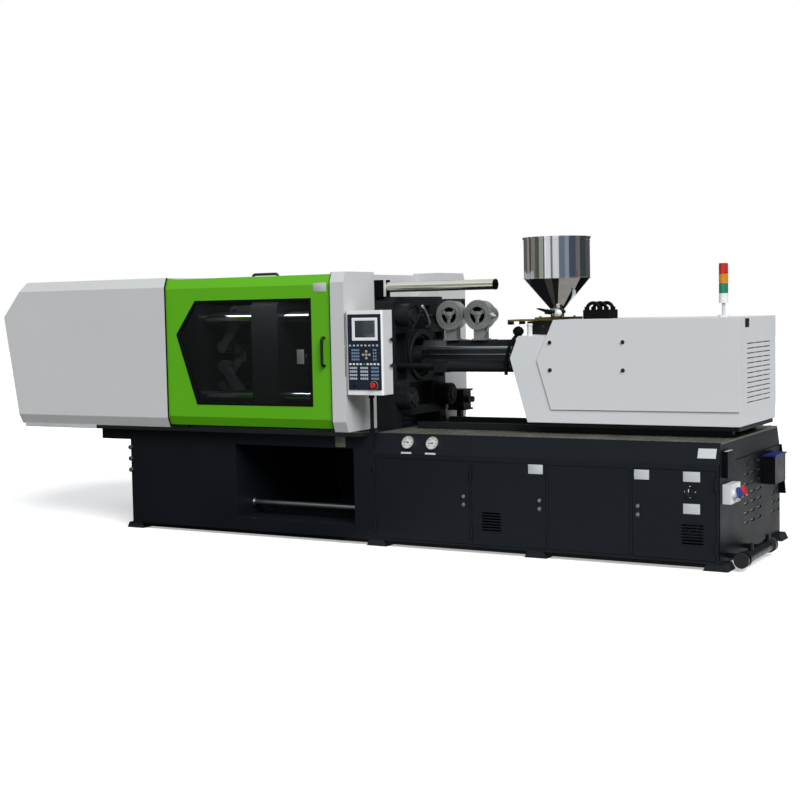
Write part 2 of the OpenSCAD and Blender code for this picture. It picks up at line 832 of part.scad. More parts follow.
module stationary_platen() {
    pocket = 60;
    mouth_r = 140;
    throat_r = 95;
    throat_x = -130;
    recess = [[0, 1], [mouth_r, 1], [mouth_r, 0], [throat_r, throat_x], [0, throat_x]];
    color("#24282d") from_joint() {
        difference() {
            platen_plate(-platen_t, 0, deck_z);
            platen_pockets(-pocket, 1);
            turned_x(0, axis_z) polygon(recess);
            rod_x(-platen_t - 1, throat_x + 1, 0, axis_z, nozzle_way_r);
            rod_x(-platen_t - 1, -platen_t + locate_depth, 0, axis_z, locate_r);
            at_ties() rod_x(-platen_t - 1, 1, 0, 0, tie_r + fit);
            mould_holes(-platen_t - 1, -platen_t + mould_hole_depth);
            for (x = [-platen_t / 2 - robot_x, -platen_t / 2 + robot_x], y = [-robot_y, robot_y])
                rod_z(axis_z + platen_hh - 40, axis_z + platen_hh + 1, x, y, robot_hole_r);
        }
        both_sides() rod_x(-platen_t / 2, pull_rod_end, -pull_y, pull_z, pull_rod_r);
    }
}

tie_x0 = tail_x0 - mould_adjust - 170;
tie_x1 = nut_l + 5;

module tie_bars() {
    color("#d5dade") from_joint() at_ties() rod_x(tie_x0, tie_x1, 0, 0, tie_r);
}

module tie_bar_nuts() {
    flat = 8;
    color("#2c3136") from_joint() at_ties() difference() {
        union() {
            rod_x(0, nut_l - flat, 0, 0, nut_r);
            rod_x(nut_l - flat, nut_l, 0, 0, nut_r - flat);
        }
        rod_x(-1, nut_l + 1, 0, 0, tie_r + fit);
    }
}

module safety_tube() {
    bracket_w = 100;
    bracket_l = 80;
    bore_r = 30;
    cap_l = 14;
    top = axis_z + platen_hh;
    color("#d5dade") from_joint() difference() {
        union() {
            block(tube_x0 - bracket_l, tube_x0, safety_y - bracket_w / 2, safety_y + bracket_w / 2,
                  top, safety_z + 55);
            rod_x(tube_x0 - 1, tube_x0 + tube_l, safety_y, safety_z, tube_r);
            rod_x(tube_x0 + tube_l, tube_x0 + tube_l + cap_l, safety_y, safety_z, tube_r + 2);
        }
        rod_x(tube_x0 - bracket_l - 1, tube_x0 + 1, safety_y, safety_z, safety_r + fit);
        rod_x(tube_x0, tube_x0 + tube_l, safety_y, safety_z, bore_r);
    }
}

module carriage_rails() {
    rail_y = 250;
    rail_hw = 30;
    rail_x0 = 120;
    rail_end = 40;
    color("#9aa1a6") from_joint() both_sides()
        block(rail_x0, inj_base_l - rail_end, -rail_y - rail_hw, -rail_y + rail_hw, deck_z, carriage_z);
}

// Hydraulic valve block on its stand, behind the fixed platen
module valve_block() {
    x0 = 5;
    x1 = 140;
    y0 = 435;
    y1 = 565;
    z0 = deck_z + 85;
    z1 = deck_z + 250;
    flange = 12;
    flange_t = 14;
    stand_hw = 17;
    stand_x = 75;
    coil_r = 24;
    color("#23272c") from_joint() {
        block(x0, x1, y0, y1, z0, z1);
        for (z = [z0, z1 - flange_t])
            block(x0, x1 + flange, y0 - flange, y1 + flange, z, z + flange_t);
        for (y = [y0 + 35, y1 - 35]) rod_x(x1 - 1, x1 + 40, y, (z0 + z1) / 2, coil_r);
        block(stand_x - stand_hw, stand_x + stand_hw, y0 + 40, y1 - 40, deck_z, z0 + 1);
    }
}

module pump_motor() {
    motor_r = 140;
    floor_z = cab_z0 + cab_rim;
    motor_z = floor_z + motor_r + 35;
    motor_y = -base_hw + cab_depth / 2 + 20;
    motor_inset = 120;
    motor_l = 330;
    bell_t = 20;
    pump_l = 120;
    x0 = door_1_x0 + motor_inset;
    x1 = x0 + motor_l;
    fins = 9;
    color("#4a6170") from_joint() {
        rod_x(x0, x1, motor_y, motor_z, motor_r - 12);
        for (i = [0 : fins - 1]) rod_x(x0 + 20 + i * 32, x0 + 30 + i * 32, motor_y, motor_z, motor_r);
        rod_x(x1, x1 + bell_t, motor_y, motor_z, motor_r);
        rod_x(x1 + bell_t, x1 + bell_t + pump_l, motor_y, motor_z, motor_r * 0.55);
        block(x0 + 60, x0 + 270, motor_y - 110, motor_y + 110, floor_z, motor_z - motor_r * 0.6);
    }
}

module switchgear() {
    wall_y = -base_hw + cab_depth;
    plate = 6;
    margin = 60;
    x0 = door_4_x0 + margin;
    x1 = door_4_x1 - margin;
    row_h = 90;
    module_w = 46;
    color("#c9cdd0") from_joint() {
        block(x0, x1, wall_y - plate, wall_y, cab_z0 + margin, cab_z1 - margin);
        for (row = [0 : 2], x = [x0 + 20 : module_w : x1 - module_w - 10])
            block(x, x + module_w - 6, wall_y - plate - 70, wall_y - plate,
                  cab_z0 + margin + 30 + row * 150, cab_z0 + margin + 30 + row * 150 + row_h);
    }
}

// Sliding door on the front side, as a folded sheet with two slide shoes
module sliding_door() {
    shoe_l = 120;
    end_prism(door_x0, door_x1) polygon(door_section(door_hw, door_z0, door_z1, door_wall));
    for (x = [door_x0 + 60, door_x1 - 60 - shoe_l])
        block(x, x + shoe_l, -rail_out + 12, -door_hw + door_lip, rail_top, door_z0 + 1);
}

// Bow handle: a bar along Z on two posts, standing out from a face at y = 0 towards -Y and let in by root
module bow_handle(length, reach, r, root = 0) {
    bend = 2 * r;
    bend_y = -reach + r + bend;
    for (s = [-1, 1]) {
        translate([0, bend_y, s * length / 2]) rotate([-90, 0, 0]) cylinder(h = root - bend_y, r = r);
        translate([0, bend_y, s * (length / 2 - bend)]) rotate([s * 90, 0, -90])
            rotate_extrude(angle = 90) translate([bend, 0]) circle(r);
    }
    translate([0, -reach + r, -length / 2 + bend]) cylinder(h = length - 2 * bend, r = r);
}

handle_l = 203;
handle_r = 11;
handle_reach = 45;
weld = 2;
handle_x = -doorway_near - 67;
handle_h = 593;
handle_z = deck_z + handle_h;

module front_door() {
    color("#58a826") from_joint() difference() {
        sliding_door();
        side_prism(-door_hw - 1, -door_hw + door_wall + 1) polygon(window_points);
    }
}

module front_window() {
    lap = 25;
    points = [
        [-win_far - lap, deck_z + win_top_h + lap], [-win_near + lap, deck_z + win_top_h + lap],
        [-win_near + lap, deck_z + win_low_h - lap], [-win_far - lap, deck_z + win_low_h - lap],
        [-win_tip - lap, deck_z + win_tip_h]
    ];
    color("#22262a") from_joint()
        side_prism(-door_hw + door_wall, -door_hw + door_wall + pane_t) polygon(points);
}

module front_handle() {
    color("#15171a") from_joint()
        translate([handle_x, -door_hw, handle_z]) bow_handle(handle_l, handle_reach, handle_r);
}

module rear_door() {
    color("#d3d6d7") from_joint() mirror([0, 1, 0]) {
        sliding_door();
        translate([handle_x, -door_hw, handle_z]) bow_handle(handle_l, handle_reach, handle_r, weld);
    }
}

module top_guard() {
    guard_x0 = -doorway_far - door_lap;
    lift_x = -950;
    lift_l = 229;
    lift_y = -roof_hw + 60;
    rib_t = 12;
    color("#d3d6d7") from_joint() {
        block(guard_x0, -doorway_near - 2, -roof_hw, roof_hw, top_rail_top, top_rail_top + roof_t);
        for (x = [guard_x0 + 250, (guard_x0 - doorway_near) / 2, -doorway_near - 250])
            block(x, x + 40, -top_rail_out + top_rail_w + 12, top_rail_out - top_rail_w - 12,
                  top_rail_top - rib_t, top_rail_top);
        translate([lift_x, lift_y, top_rail_top + roof_t]) rotate([-90, 0, -90])
            bow_handle(lift_l, handle_reach, handle_r, weld);
    }
}

module tail_platen() {
    nut_t = 80;
    color("#24282d") from_joint() {
        difference() {
            union() {
                platen_plate(tail_x0, tail_x1, foot_z);
                at_ties() rod_x(tail_x0 - nut_t, tail_x0 + 1, 0, 0, nut_r);
            }
            platen_pockets(tail_x0 - 1, tail_x0 + 60);
            at_ties() rod_x(tail_x0 - nut_t - 1, tail_x1 + 1, 0, 0, tie_r + fit);
            rod_x(tail_x0 - 1, tail_x1 + 1, 0, axis_z, rod_r + fit);
        }
        for (s = [-1, 1]) both_sides() {
            pivot_z = axis_z + s * pivot_h;
            block(tail_x1 - 1, tail_pivot, -lug_out, -lug_in, pivot_z - eye_r, pivot_z + eye_r);
            rod_y(-lug_out, -lug_in, tail_pivot, pivot_z, eye_r);
            rod_y(-rear_y1, -lug_in, tail_pivot, pivot_z, pin_r);
        }
        both_sides() rod_x(tail_x1 - 1, move_x0 - 10, -guide_y, axis_z, guide_r);
    }
}

module clamp_cylinder() {
    flange_l = 40;
    x0 = tail_x0 - clamp_cyl_l;
    color("#2c3136") from_joint() difference() {
        union() {
            rod_x(x0, tail_x0, 0, axis_z, clamp_cyl_r);
            rod_x(tail_x0 - flange_l, tail_x0, 0, axis_z, clamp_cyl_r + 45);
            rod_x(x0, x0 + flange_l, 0, axis_z, clamp_cyl_r + 25);
        }
        rod_x(x0 + flange_l, tail_x0 - flange_l, 0, axis_z, piston_r);
        rod_x(tail_x0 - flange_l - 1, tail_x0 + 1, 0, axis_z, rod_r + fit);
    }
}

module moving_platen() {
    bracket_x = move_x0 + 90;
    top = axis_z + platen_hh;
    color("#24282d") from_joint() {
        difference() {
            union() {
                platen_plate(move_x0, move_x1, foot_z);
                rod_x(move_x0 - eject_cyl_l, move_x0 + 1, 0, axis_z, eject_cyl_r);
            }
            platen_pockets(move_x0 - 1, move_x0 + 60);
            at_ties() rod_x(move_x0 - 1, move_x1 + 1, 0, 0, tie_r + fit);
            rod_x(move_x0 - eject_cyl_l + 10, move_x0 - 10, 0, axis_z, eject_bore);
            rod_x(move_x0 - 11, move_x1 + 1, 0, axis_z, eject_r + fit);
            mould_holes(move_x1 - mould_hole_depth, move_x1 + 1);
        }
        for (s = [-1, 1]) both_sides() {
            pivot_z = axis_z + s * pivot_h;
            block(move_pivot, move_x0 + 1, -move_lug_y1, -move_lug_y0, pivot_z - eye_r, pivot_z + eye_r);
            rod_y(-move_lug_y1, -move_lug_y0, move_pivot, pivot_z, eye_r);
            rod_y(-move_lug_y1, -front_y0, move_pivot, pivot_z, pin_r);
        }
        block(bracket_x, bracket_x + 70, safety_y - 45, safety_y + 45, top - 45, safety_z - safety_r - fit);
    }
}

module safety_bar() {
    bar_x0 = move_x0 + 80;
    saddle_x0 = move_x0 + 90;
    saddle_l = 70;
    saddle_hw = 45;
    seat_z = safety_z - safety_r - fit;
    color("#d5dade") from_joint() {
        rod_x(bar_x0, safety_end, safety_y, safety_z, safety_r);
        block(saddle_x0, saddle_x0 + saddle_l, safety_y - saddle_hw, safety_y + saddle_hw,
              seat_z, safety_z + 40);
    }
}

module ejector_rod() {
    piston_x = move_x0 - eject_cyl_l + 12;
    color("#c4c9cd") from_joint() {
        rod_x(piston_x, move_x1 - 5, 0, axis_z, eject_r);
        rod_x(piston_x, piston_x + 30, 0, axis_z, eject_bore - fit);
    }
}

// Flat link between two eyes, in the plane of X and Z: the first eye is bored for a pin
module link_plate(length, eye, bore, y0, y1) {
    waist = eye * 0.72;
    difference() {
        union() {
            rod_y(y0, y1, 0, 0, eye);
            rod_y(y0, y1, length, 0, eye);
            block(0, length, y0, y1, -waist, waist);
        }
        rod_y(y0 - 1, y1 + 1, 0, 0, bore);
    }
}

// Upper rear link: turned from its straight place to the open clamp
module rear_links() {
    arm_w = arm_eye_r * 0.8;
    translate([tail_pivot, 0, axis_z + pivot_h]) rotate([0, rear_turn, 0]) both_sides() {
        link_plate(rear_link, eye_r, pin_r + fit, -rear_y1, -rear_y0);
        rotate([0, arm_angle, 0]) {
            block(eye_r, arm_l, -rear_y1, -rear_y0, -arm_w, arm_w);
            rod_y(-rear_y1, -rear_y0, arm_l, 0, arm_eye_r);
        }
    }
}

module front_links() {
    translate([move_pivot, 0, axis_z + pivot_h]) rotate([0, 180 - front_turn, 0]) both_sides()
        link_plate(front_link, eye_r, pin_r + fit, -front_y1, -front_y0);
}

module cross_links() {
    translate([cross_x, 0, axis_z + cross_pin_h]) rotate([0, -cross_open, 0]) both_sides()
        link_plate(cross_link, arm_eye_r, cross_pin_r + fit, -cross_y1, -cross_y0);
}

module rear_link_upper() { color("#50565c") from_joint() rear_links(); }
module rear_link_lower() { color("#50565c") from_joint() lower_twin() rear_links(); }
module front_link_upper() { color("#50565c") from_joint() front_links(); }
module front_link_lower() { color("#50565c") from_joint() lower_twin() front_links(); }
module cross_link_upper() { color("#5d646a") from_joint() cross_links(); }
module cross_link_lower() { color("#5d646a") from_joint() lower_twin() cross_links(); }

module crosshead() {
    ear_r = cross_pin_r + 14;
    piston_x = tail_x0 - clamp_cyl_l + 50;
    piston_l = 40;
    color("#3a4046") from_joint() {
        difference() {
            union() {
                block(cross_x - cross_hl, cross_x + cross_hl, -cross_hw, cross_hw, axis_z - 40, axis_z + 40);
                for (s = [-1, 1]) {
                    block(cross_x - ear_r, cross_x + ear_r, -cross_hw, cross_hw,
                          axis_z + min(0, s * cross_pin_h), axis_z + max(0, s * cross_pin_h));
                    rod_y(-cross_hw, cross_hw, cross_x, axis_z + s * cross_pin_h, ear_r);
                }
            }
            for (y = [-guide_y, guide_y])
                rod_x(cross_x - cross_hl - 1, cross_x + cross_hl + 1, y, axis_z, guide_r + fit);
        }
        for (s = [-1, 1]) rod_y(-cross_y1, cross_y1, cross_x, axis_z + s * cross_pin_h, cross_pin_r);
        rod_x(piston_x, cross_x - cross_hl + 1, 0, axis_z, rod_r);
        rod_x(piston_x, piston_x + piston_l, 0, axis_z, piston_r - fit);
    }
}

module carriage() {
    house_hw = 330;
    house_top = axis_z + 110;
    color("#2c3136") from_joint() {
        difference() {
            union() {
                block(house_x0 - 18, cover_end - 10, -cover_hw + 40, cover_hw - 40, carriage_z, cover_z0);
                block(house_x0, house_x1, -house_hw, house_hw, cover_z0 - 1, house_top);
            }
            rod_x(house_x0 - 1, house_x1 + 1, 0, axis_z, barrel_r + fit);
        }
        both_sides() rod_x(house_x1 - 1, drive_x1 + screw_stroke + 60, -guide_bar_y, axis_z, guide_bar_r);
    }
}

module pull_cylinders() {
    head_l = 110;
    head_hw = 45;
    color("#4b5157") from_joint() both_sides() difference() {
        union() {
            block(pull_x0, pull_x0 + head_l, -pull_y - head_hw, -pull_y + head_hw,
                  pull_z - head_hw, pull_z + head_hw);
            rod_x(pull_x0 + head_l - 1, house_x0, -pull_y, pull_z, pull_r);
        }
        rod_x(pull_x0 - 1, pull_x0 + pull_head_l + 1, -pull_y, pull_z, pull_rod_r + fit);
        rod_x(pull_x0 + pull_head_l, house_x0 - 25, -pull_y, pull_z, pull_bore);
    }
}

module barrel() {
    bore_r = screw_r + 0.3;
    tip_r = 12;
    jet_r = 3;
    profile = [
        [jet_r, nozzle_x], [tip_r, nozzle_x], [nozzle_r, nozzle_x + 40], [nozzle_r, barrel_x0],
        [barrel_r, barrel_x0], [barrel_r, house_x1], [bore_r, house_x1], [bore_r, barrel_x0 - 40],
        [jet_r, barrel_x0 - 75]
    ];
    color("#7d858b") from_joint() turned_x(0, axis_z) polygon(profile);
}

// Section of the barrel guard, drawn in by a wall
function sleeve_section(w) = [
    for (p = [[-1, -0.6], [-1, 0.6], [-0.7, 1], [0.7, 1], [1, 0.6], [1, -0.6], [0.7, -1], [-0.7, -1]])
        [p[0] * (sleeve_hw - w), (sleeve_z0 + sleeve_z1) / 2 + p[1] * ((sleeve_z1 - sleeve_z0) / 2 - w)]
];

module barrel_cover() {
    x1 = sleeve_x0 + sleeve_l;
    band_l = 30;
    band_t = 3;
    color("#565d63") from_joint() difference() {
        union() {
            end_prism(sleeve_x0, x1) polygon(sleeve_section(band_t));
            for (i = [0 : 3]) {
                x = sleeve_x0 + i * (sleeve_l - band_l) / 3;
                end_prism(x, x + band_l) polygon(sleeve_section(0));
            }
        }
        end_prism(sleeve_x0 + sleeve_t, x1 - sleeve_t) polygon(sleeve_section(band_t + sleeve_t));
        rod_x(sleeve_x0 - 1, x1 + 1, 0, axis_z, barrel_r + fit);
    }
}

// The same shape at each of the two blowers
module at_blowers() { for (i = [0, 1]) translate([blower_x + i * blower_pitch, 0, blower_z]) children(); }

module blower_casings() {
    wall = 8;
    inlet_r = 76;
    hub_r = 26;
    spoke = 16;
    neck_hw = 45;
    neck_z = sleeve_z1 - blower_z;
    color("#9ea3a5") from_joint() at_blowers() difference() {
        union() {
            rod_y(blower_y0, blower_y1, 0, 0, blower_r);
            rod_y(blower_y0 + 6, blower_y0 + 16, 0, 0, blower_r + 6);
            block(-neck_hw, neck_hw, blower_y0 + 25, blower_y1 - 5, neck_z, -blower_r * 0.6);
            block(-neck_hw - 15, neck_hw + 15, blower_y0 + 20, blower_y1, neck_z, neck_z + 10);
            rod_y(blower_y1 - 1, blower_y1 + blower_motor_l, 0, 0, blower_motor_r);
        }
        rod_y(blower_y0 + wall, blower_y1 - wall, 0, 0, blower_r - wall);
        difference() {
            rod_y(blower_y0 - 1, blower_y0 + wall + 1, 0, 0, inlet_r);
            rod_y(blower_y0 - 2, blower_y0 + wall + 2, 0, 0, hub_r);
            for (a = [90, 210, 330]) rotate([0, a, 0])
                block(0, inlet_r + 1, blower_y0 - 2, blower_y0 + wall + 2, -spoke / 2, spoke / 2);
        }
        rod_y(blower_y1 - wall - 1, blower_y1 + 60, 0, 0, fan_shaft_r + fit);
    }
}

module fan(i) {
    blades = 8;
    front = blower_y0 + 22;
    back = blower_y1 - 14;
    color("#5a6066") from_joint() translate([blower_x + i * blower_pitch, 0, blower_z]) {
        rod_y(front, back, 0, 0, 20);
        rod_y(back - 5, back, 0, 0, fan_r - 6);
        rod_y(back - 1, blower_y1 + 55, 0, 0, fan_shaft_r);
        for (k = [0 : blades - 1]) rotate([0, k * 360 / blades, 0])
            block(15, fan_r, front, back - 4, -2, 2);
    }
}

module impeller_1() { fan(0); }
module impeller_2() { fan(1); }

// Injection cover: a raised panel on each side, a little proud of the nose and of the skirt below
cover_tip_x = hopper_x - 180;
cover_brow_x = hopper_x - 118;
cover_step_x = hopper_x + 102;
cover_roof_x = hopper_x + 157;
cover_toe_x = hopper_x - 51;
cover_lap = 8;
cover_seat = 45;
cover_t = 6;

module cover_body(w) {
    skirt = [
        [cover_tip_x, axis_z - 5], [cover_brow_x, step_z - 3], [cover_roof_x, cover_z1], [cover_end, cover_z1],
        [cover_end, cover_z0], [cover_toe_x, cover_z0]
    ];
    flank = [
        [cover_roof_x, cover_z1], [cover_end, cover_z1], [cover_end, cover_z0 + 97],
        [hopper_x + 132, cover_z0 + 92], [hopper_x + 28, axis_z - 20]
    ];
    difference() {
        union() {
            side_prism(-cover_hw + cover_lap + w, cover_hw - cover_lap - w) offset(delta = -w) polygon(skirt);
            side_prism(-cover_hw + w, cover_hw - w) offset(delta = -w) polygon(flank);
        }
        side_prism(-cover_hw - 1, cover_hw + 1) polygon([
            [cover_tip_x, step_z - w], [cover_step_x + w * 0.6, step_z - w], [cover_roof_x + w * 0.6, cover_z1],
            [cover_roof_x, cover_z1 + 60], [cover_tip_x, cover_z1 + 60]
        ]);
    }
}

module injection_cover() {
    rows = 13;
    columns = 3;
    slot_w = 179;
    slot_gap = 9;
    slot_h = 7;
    slot_y0 = -255;
    slot_z0 = cover_z0 + 145;
    slot_top = 179;
    row_pitch = (cover_z1 - slot_top - slot_z0) / (rows - 1);
    throat = slide_hw - 15;
    house_room = 2;
    color("#dcdfe0") from_joint() difference() {
        cover_body(0);
        cover_body(cover_t);
        block(house_x0 - house_room, cover_end - cover_t, -cover_hw + cover_seat, cover_hw - cover_seat,
              cover_z0 - 1, cover_z0 + 20);
        block(cover_tip_x - 10, house_x0 + 20, -310, 310, axis_z - 165, axis_z + 95);
        block(hopper_x - throat, hopper_x + throat, -throat, throat, step_z - 30, step_z + 30);
        for (row = [0 : rows - 1], i = [0 : columns - 1]) {
            y = slot_y0 + i * (slot_w + slot_gap);
            z = slot_z0 + row * row_pitch;
            block(cover_end - cover_t - 1, cover_end + 1, y, y + slot_w, z, z + slot_h);
        }
    }
}

module hopper_seat() {
    throat_hw = 80;
    color("#b99a4a") from_joint() difference() {
        union() {
            block(hopper_x - throat_hw, hopper_x + throat_hw, -throat_hw, throat_hw, axis_z + 110, slide_z);
            block(slide_x0, hopper_x + hopper_flange_r + 5, -slide_hw, slide_hw, slide_z, slide_z + slide_t);
            both_sides() block(slide_x0, slide_x0 + 40, -slide_hw, -slide_hw + 25, slide_z - 24, slide_z + 1);
        }
        rod_z(axis_z + 109, slide_z + slide_t + 1, hopper_x, 0, neck_r - hopper_wall);
    }
}

module hose_set() {
    hose_r = 13;
    bow_r = 48;
    bow_x0 = 68;
    bow_pitch = 30;
    block_x0 = hopper_x + 244;
    block_l = 195;
    block_h = 64;
    color("#17191b") from_joint() {
        block(block_x0, block_x0 + block_l, -110, 60, cover_z1, cover_z1 + block_h);
        for (i = [0 : 2]) translate([block_x0 + bow_x0 + i * bow_pitch, -85 + i * 50, cover_z1 + block_h]) {
            rotate([90, 0, 0]) rotate_extrude(angle = 180) translate([bow_r, 0]) circle(hose_r);
            for (s = [-1, 1]) translate([s * bow_r, 0, -1]) cylinder(h = 22, r = hose_r + 5);
        }
    }
}

module light_tower() {
    tower_x = cover_end - 234;
    pole_h = 94;
    lens_r = 31;
    groove = 2;
    base_z = cover_z1 + pole_h;
    color("#d8dadb") from_joint() {
        rod_z(cover_z1, cover_z1 + 12, tower_x, 0, lens_r + 8);
        rod_z(cover_z1, base_z + 1, tower_x, 0, 12);
        for (i = [0 : 3]) {
            rod_z(base_z + i * lens_h, base_z + (i + 1) * lens_h - groove, tower_x, 0, lens_r);
            rod_z(base_z + i * lens_h, base_z + (i + 1) * lens_h, tower_x, 0, lens_r - 3);
        }
        rod_z(base_z + 4 * lens_h - 1, base_z + 4 * lens_h + 6, tower_x, 0, lens_r - 2);
    }
}

module hopper() {
    z0 = slide_z + slide_t;
    z1 = z0 + flange_t;
    z2 = z1 + neck_h;
    z3 = z2 + cone_h;
    z4 = z3 + drum_h;
    w = hopper_wall;
    rim_t = 7;
    rim_h = 12;
    shell = [
        [neck_r, z1 - 1], [neck_r, z2], [hopper_r, z3], [hopper_r, z4 - rim_h], [hopper_r + rim_t, z4 - rim_h],
        [hopper_r + rim_t, z4], [hopper_r - w, z4], [hopper_r - w, z3 + w * 0.5], [neck_r - w, z2 + w * 0.5],
        [neck_r - w, z1 - 1]
    ];
    color("#c8cccf") from_joint() {
        difference() {
            block(hopper_x - hopper_flange_l, hopper_x + hopper_flange_r, -flange_hw, flange_hw, z0, z1);
            rod_z(z0 - 1, z1 + 1, hopper_x, 0, neck_r - w);
        }
        translate([hopper_x, 0, 0]) rotate_extrude() polygon(shell);
    }
}

module screw_drive() {
    drive_hw = 290;
    drive_hh = 120;
    color("#3d4b57") from_joint() difference() {
        union() {
            block(drive_x0, drive_x1, -drive_hw, drive_hw, axis_z - drive_hh, axis_z + drive_hh);
            rod_x(drive_x1 - 1, drive_x1 + drive_motor_l, 0, axis_z, drive_motor_r);
            rod_x(drive_x1 + drive_motor_l - 30, drive_x1 + drive_motor_l, 0, axis_z, drive_motor_r + 20);
        }
        both_sides() rod_x(drive_x0 - 1, drive_x1 + 1, -guide_bar_y, axis_z, guide_bar_r + fit);
        rod_x(drive_x0 - 1, drive_x0 + 110, 0, axis_z, shank_r + fit);
    }
}

module screw() {
    root_r = screw_r - 8;
    tip_x = barrel_x0 - 36;
    flight_x1 = house_x1 - screw_stroke;
    shank_x1 = drive_x0 + 105;
    profile = [
        [0, tip_x], [root_r, tip_x + 45], [root_r, flight_x1], [shank_r, flight_x1 + 10],
        [shank_r, shank_x1], [0, shank_x1]
    ];
    flights = 14;
    pitch = (flight_x1 - tip_x - 80) / flights;
    color("#b4bac0") from_joint() {
        turned_x(0, axis_z) polygon(profile);
        for (i = [0 : flights - 1]) rod_x(tip_x + 60 + i * pitch, tip_x + 68 + i * pitch, 0, axis_z, screw_r);
    }
}

// Moving half of a cabinet hinge: the knuckle and its leaf on the door's face
module door_hinge(x, side, z) {
    leaf_l = 40;
    leaf_t = 3;
    x_near = side > 0 ? x - leaf_l : x;
    rod_z(z - hinge_l / 2, z + hinge_l / 2, x, hinge_y, hinge_r);
    block(x_near, x_near + leaf_l, -base_hw - leaf_t, -base_hw, z - hinge_l / 2, z + hinge_l / 2);
}

// Cabinet door with its hinges on one side: -1 is left and 1 is right
module cabinet_door(x0, x1, side) {
    hinge_x = side > 0 ? x1 + 4 : x0 - 4;
    lock_x = side > 0 ? x0 + 38 : x1 - 44;
    lock_z = (cab_z0 + cab_z1) / 2 + 20;
    lock_r = 15;
    difference() {
        union() {
            block(x0, x1, -base_hw, -base_hw + cab_door_t, cab_z0, cab_z1);
            for (z = [cab_z0 + hinge_inset, cab_z1 - hinge_inset]) door_hinge(hinge_x, side, z);
            rod_y(-base_hw - 7, -base_hw + 1, lock_x, lock_z, lock_r);
        }
        rod_z(cab_z0 - 1, cab_z1 + 1, hinge_x, hinge_y, hinge_pin_r + fit);
        block(lock_x - 3, lock_x + 3, -base_hw - 8, -base_hw - 3, lock_z - 9, lock_z + 9);
    }
}

louvre_w = 164;
louvre_h = 148;
louvre_z0 = cab_z0 + 90;

// Louvred vent set into a cabinet door
module louvre(x) {
    slats = 7;
    rim = 10;
    pitch = (louvre_h - rim) / slats;
    proud = 3;
    difference() {
        block(x, x + louvre_w, -base_hw - proud, -base_hw + cab_door_t, louvre_z0, louvre_z0 + louvre_h);
        for (i = [0 : slats - 1])
            block(x + rim, x + louvre_w - rim, -base_hw - proud - 1, -base_hw + cab_door_t + 1,
                  louvre_z0 + rim + i * pitch, louvre_z0 + rim + i * pitch + pitch - 8);
    }
}

module louvre_hole(x) {
    z1 = louvre_z0 + louvre_h - 1;
    block(x + 1, x + louvre_w - 1, -base_hw - 1, -base_hw + cab_door_t + 1, louvre_z0 + 1, z1);
}

module cabinet_door_1() { color("#1f242a") from_joint() cabinet_door(door_1_x0, door_1_x1, -1); }

module cabinet_door_2() {
    vent_x = door_2_x0 + 67;
    color("#1f242a") from_joint() {
        difference() {
            cabinet_door(door_2_x0, door_2_x1, -1);
            louvre_hole(vent_x);
        }
        louvre(vent_x);
    }
}

module cabinet_door_4() {
    vent_x = door_4_x1 - 70 - louvre_w;
    color("#1f242a") from_joint() {
        difference() {
            union() {
                cabinet_door(door_4_x0, door_4_x1, 1);
                block(switch_x - 34, switch_x + 34, -base_hw - 4, -base_hw + 1, switch_z - 34, switch_z + 34);
            }
            louvre_hole(vent_x);
            rod_y(-base_hw - 5, -base_hw + cab_door_t + 1, switch_x, switch_z, switch_shaft_r + fit);
        }
        louvre(vent_x);
    }
}

module main_switch() {
    knob_r = 26;
    face = -base_hw - 4;
    color("#1b1d20") from_joint() {
        rod_y(face - 10, face, switch_x, switch_z, knob_r);
        block(switch_x - 7, switch_x + 7, face - 28, face - 9, switch_z - 24, switch_z + 24);
        rod_y(face - 1, -base_hw + cab_door_t, switch_x, switch_z, switch_shaft_r);
    }
}

module estop_button() {
    head_t = 15;
    head_y = key_face - stop_collar_t - stop_travel - 1 - head_t;
    color("#c0201a") from_joint() {
        rod_y(head_y + 3, head_y + head_t, stop_x, stop_z, stop_r);
        rod_y(head_y, head_y + 4, stop_x, stop_z, stop_r - 3);
        rod_y(head_y + head_t - 1, panel_y0 + 38, stop_x, stop_z, stop_stem_r);
    }
}

clamp_base();
injection_base();
levelling_pads();
tread_deck();
fascia_covers();
pressure_gauges();
end_panel();
socket_station();
junction_box();
oil_cooler();
clamp_hood();
column_covers();
door_rails();
control_box();
key_panel();
panel_conduit();
stationary_platen();
tie_bars();
tie_bar_nuts();
safety_tube();
carriage_rails();
valve_block();
pump_motor();
switchgear();
front_door();
front_window();
front_handle();
rear_door();
top_guard();
tail_platen();
clamp_cylinder();
moving_platen();
safety_bar();
ejector_rod();
rear_link_upper();
rear_link_lower();
front_link_upper();
front_link_lower();
crosshead();
cross_link_upper();
cross_link_lower();
carriage();
pull_cylinders();
barrel();
barrel_cover();
blower_casings();
injection_cover();
hopper_seat();
hose_set();
light_tower();
hopper();
screw_drive();
screw();
impeller_1();
impeller_2();
cabinet_door_1();
cabinet_door_2();
cabinet_door_4();
main_switch();
estop_button();
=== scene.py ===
"""Looks of a horizontal injection moulding machine, dressed round its solids.
The studio and the finishes are in metres. The pieces are drawn in millimetres, then brought to metres."""
from contextlib import contextmanager
import math

import bmesh
import bpy
from mathutils import Matrix, Vector


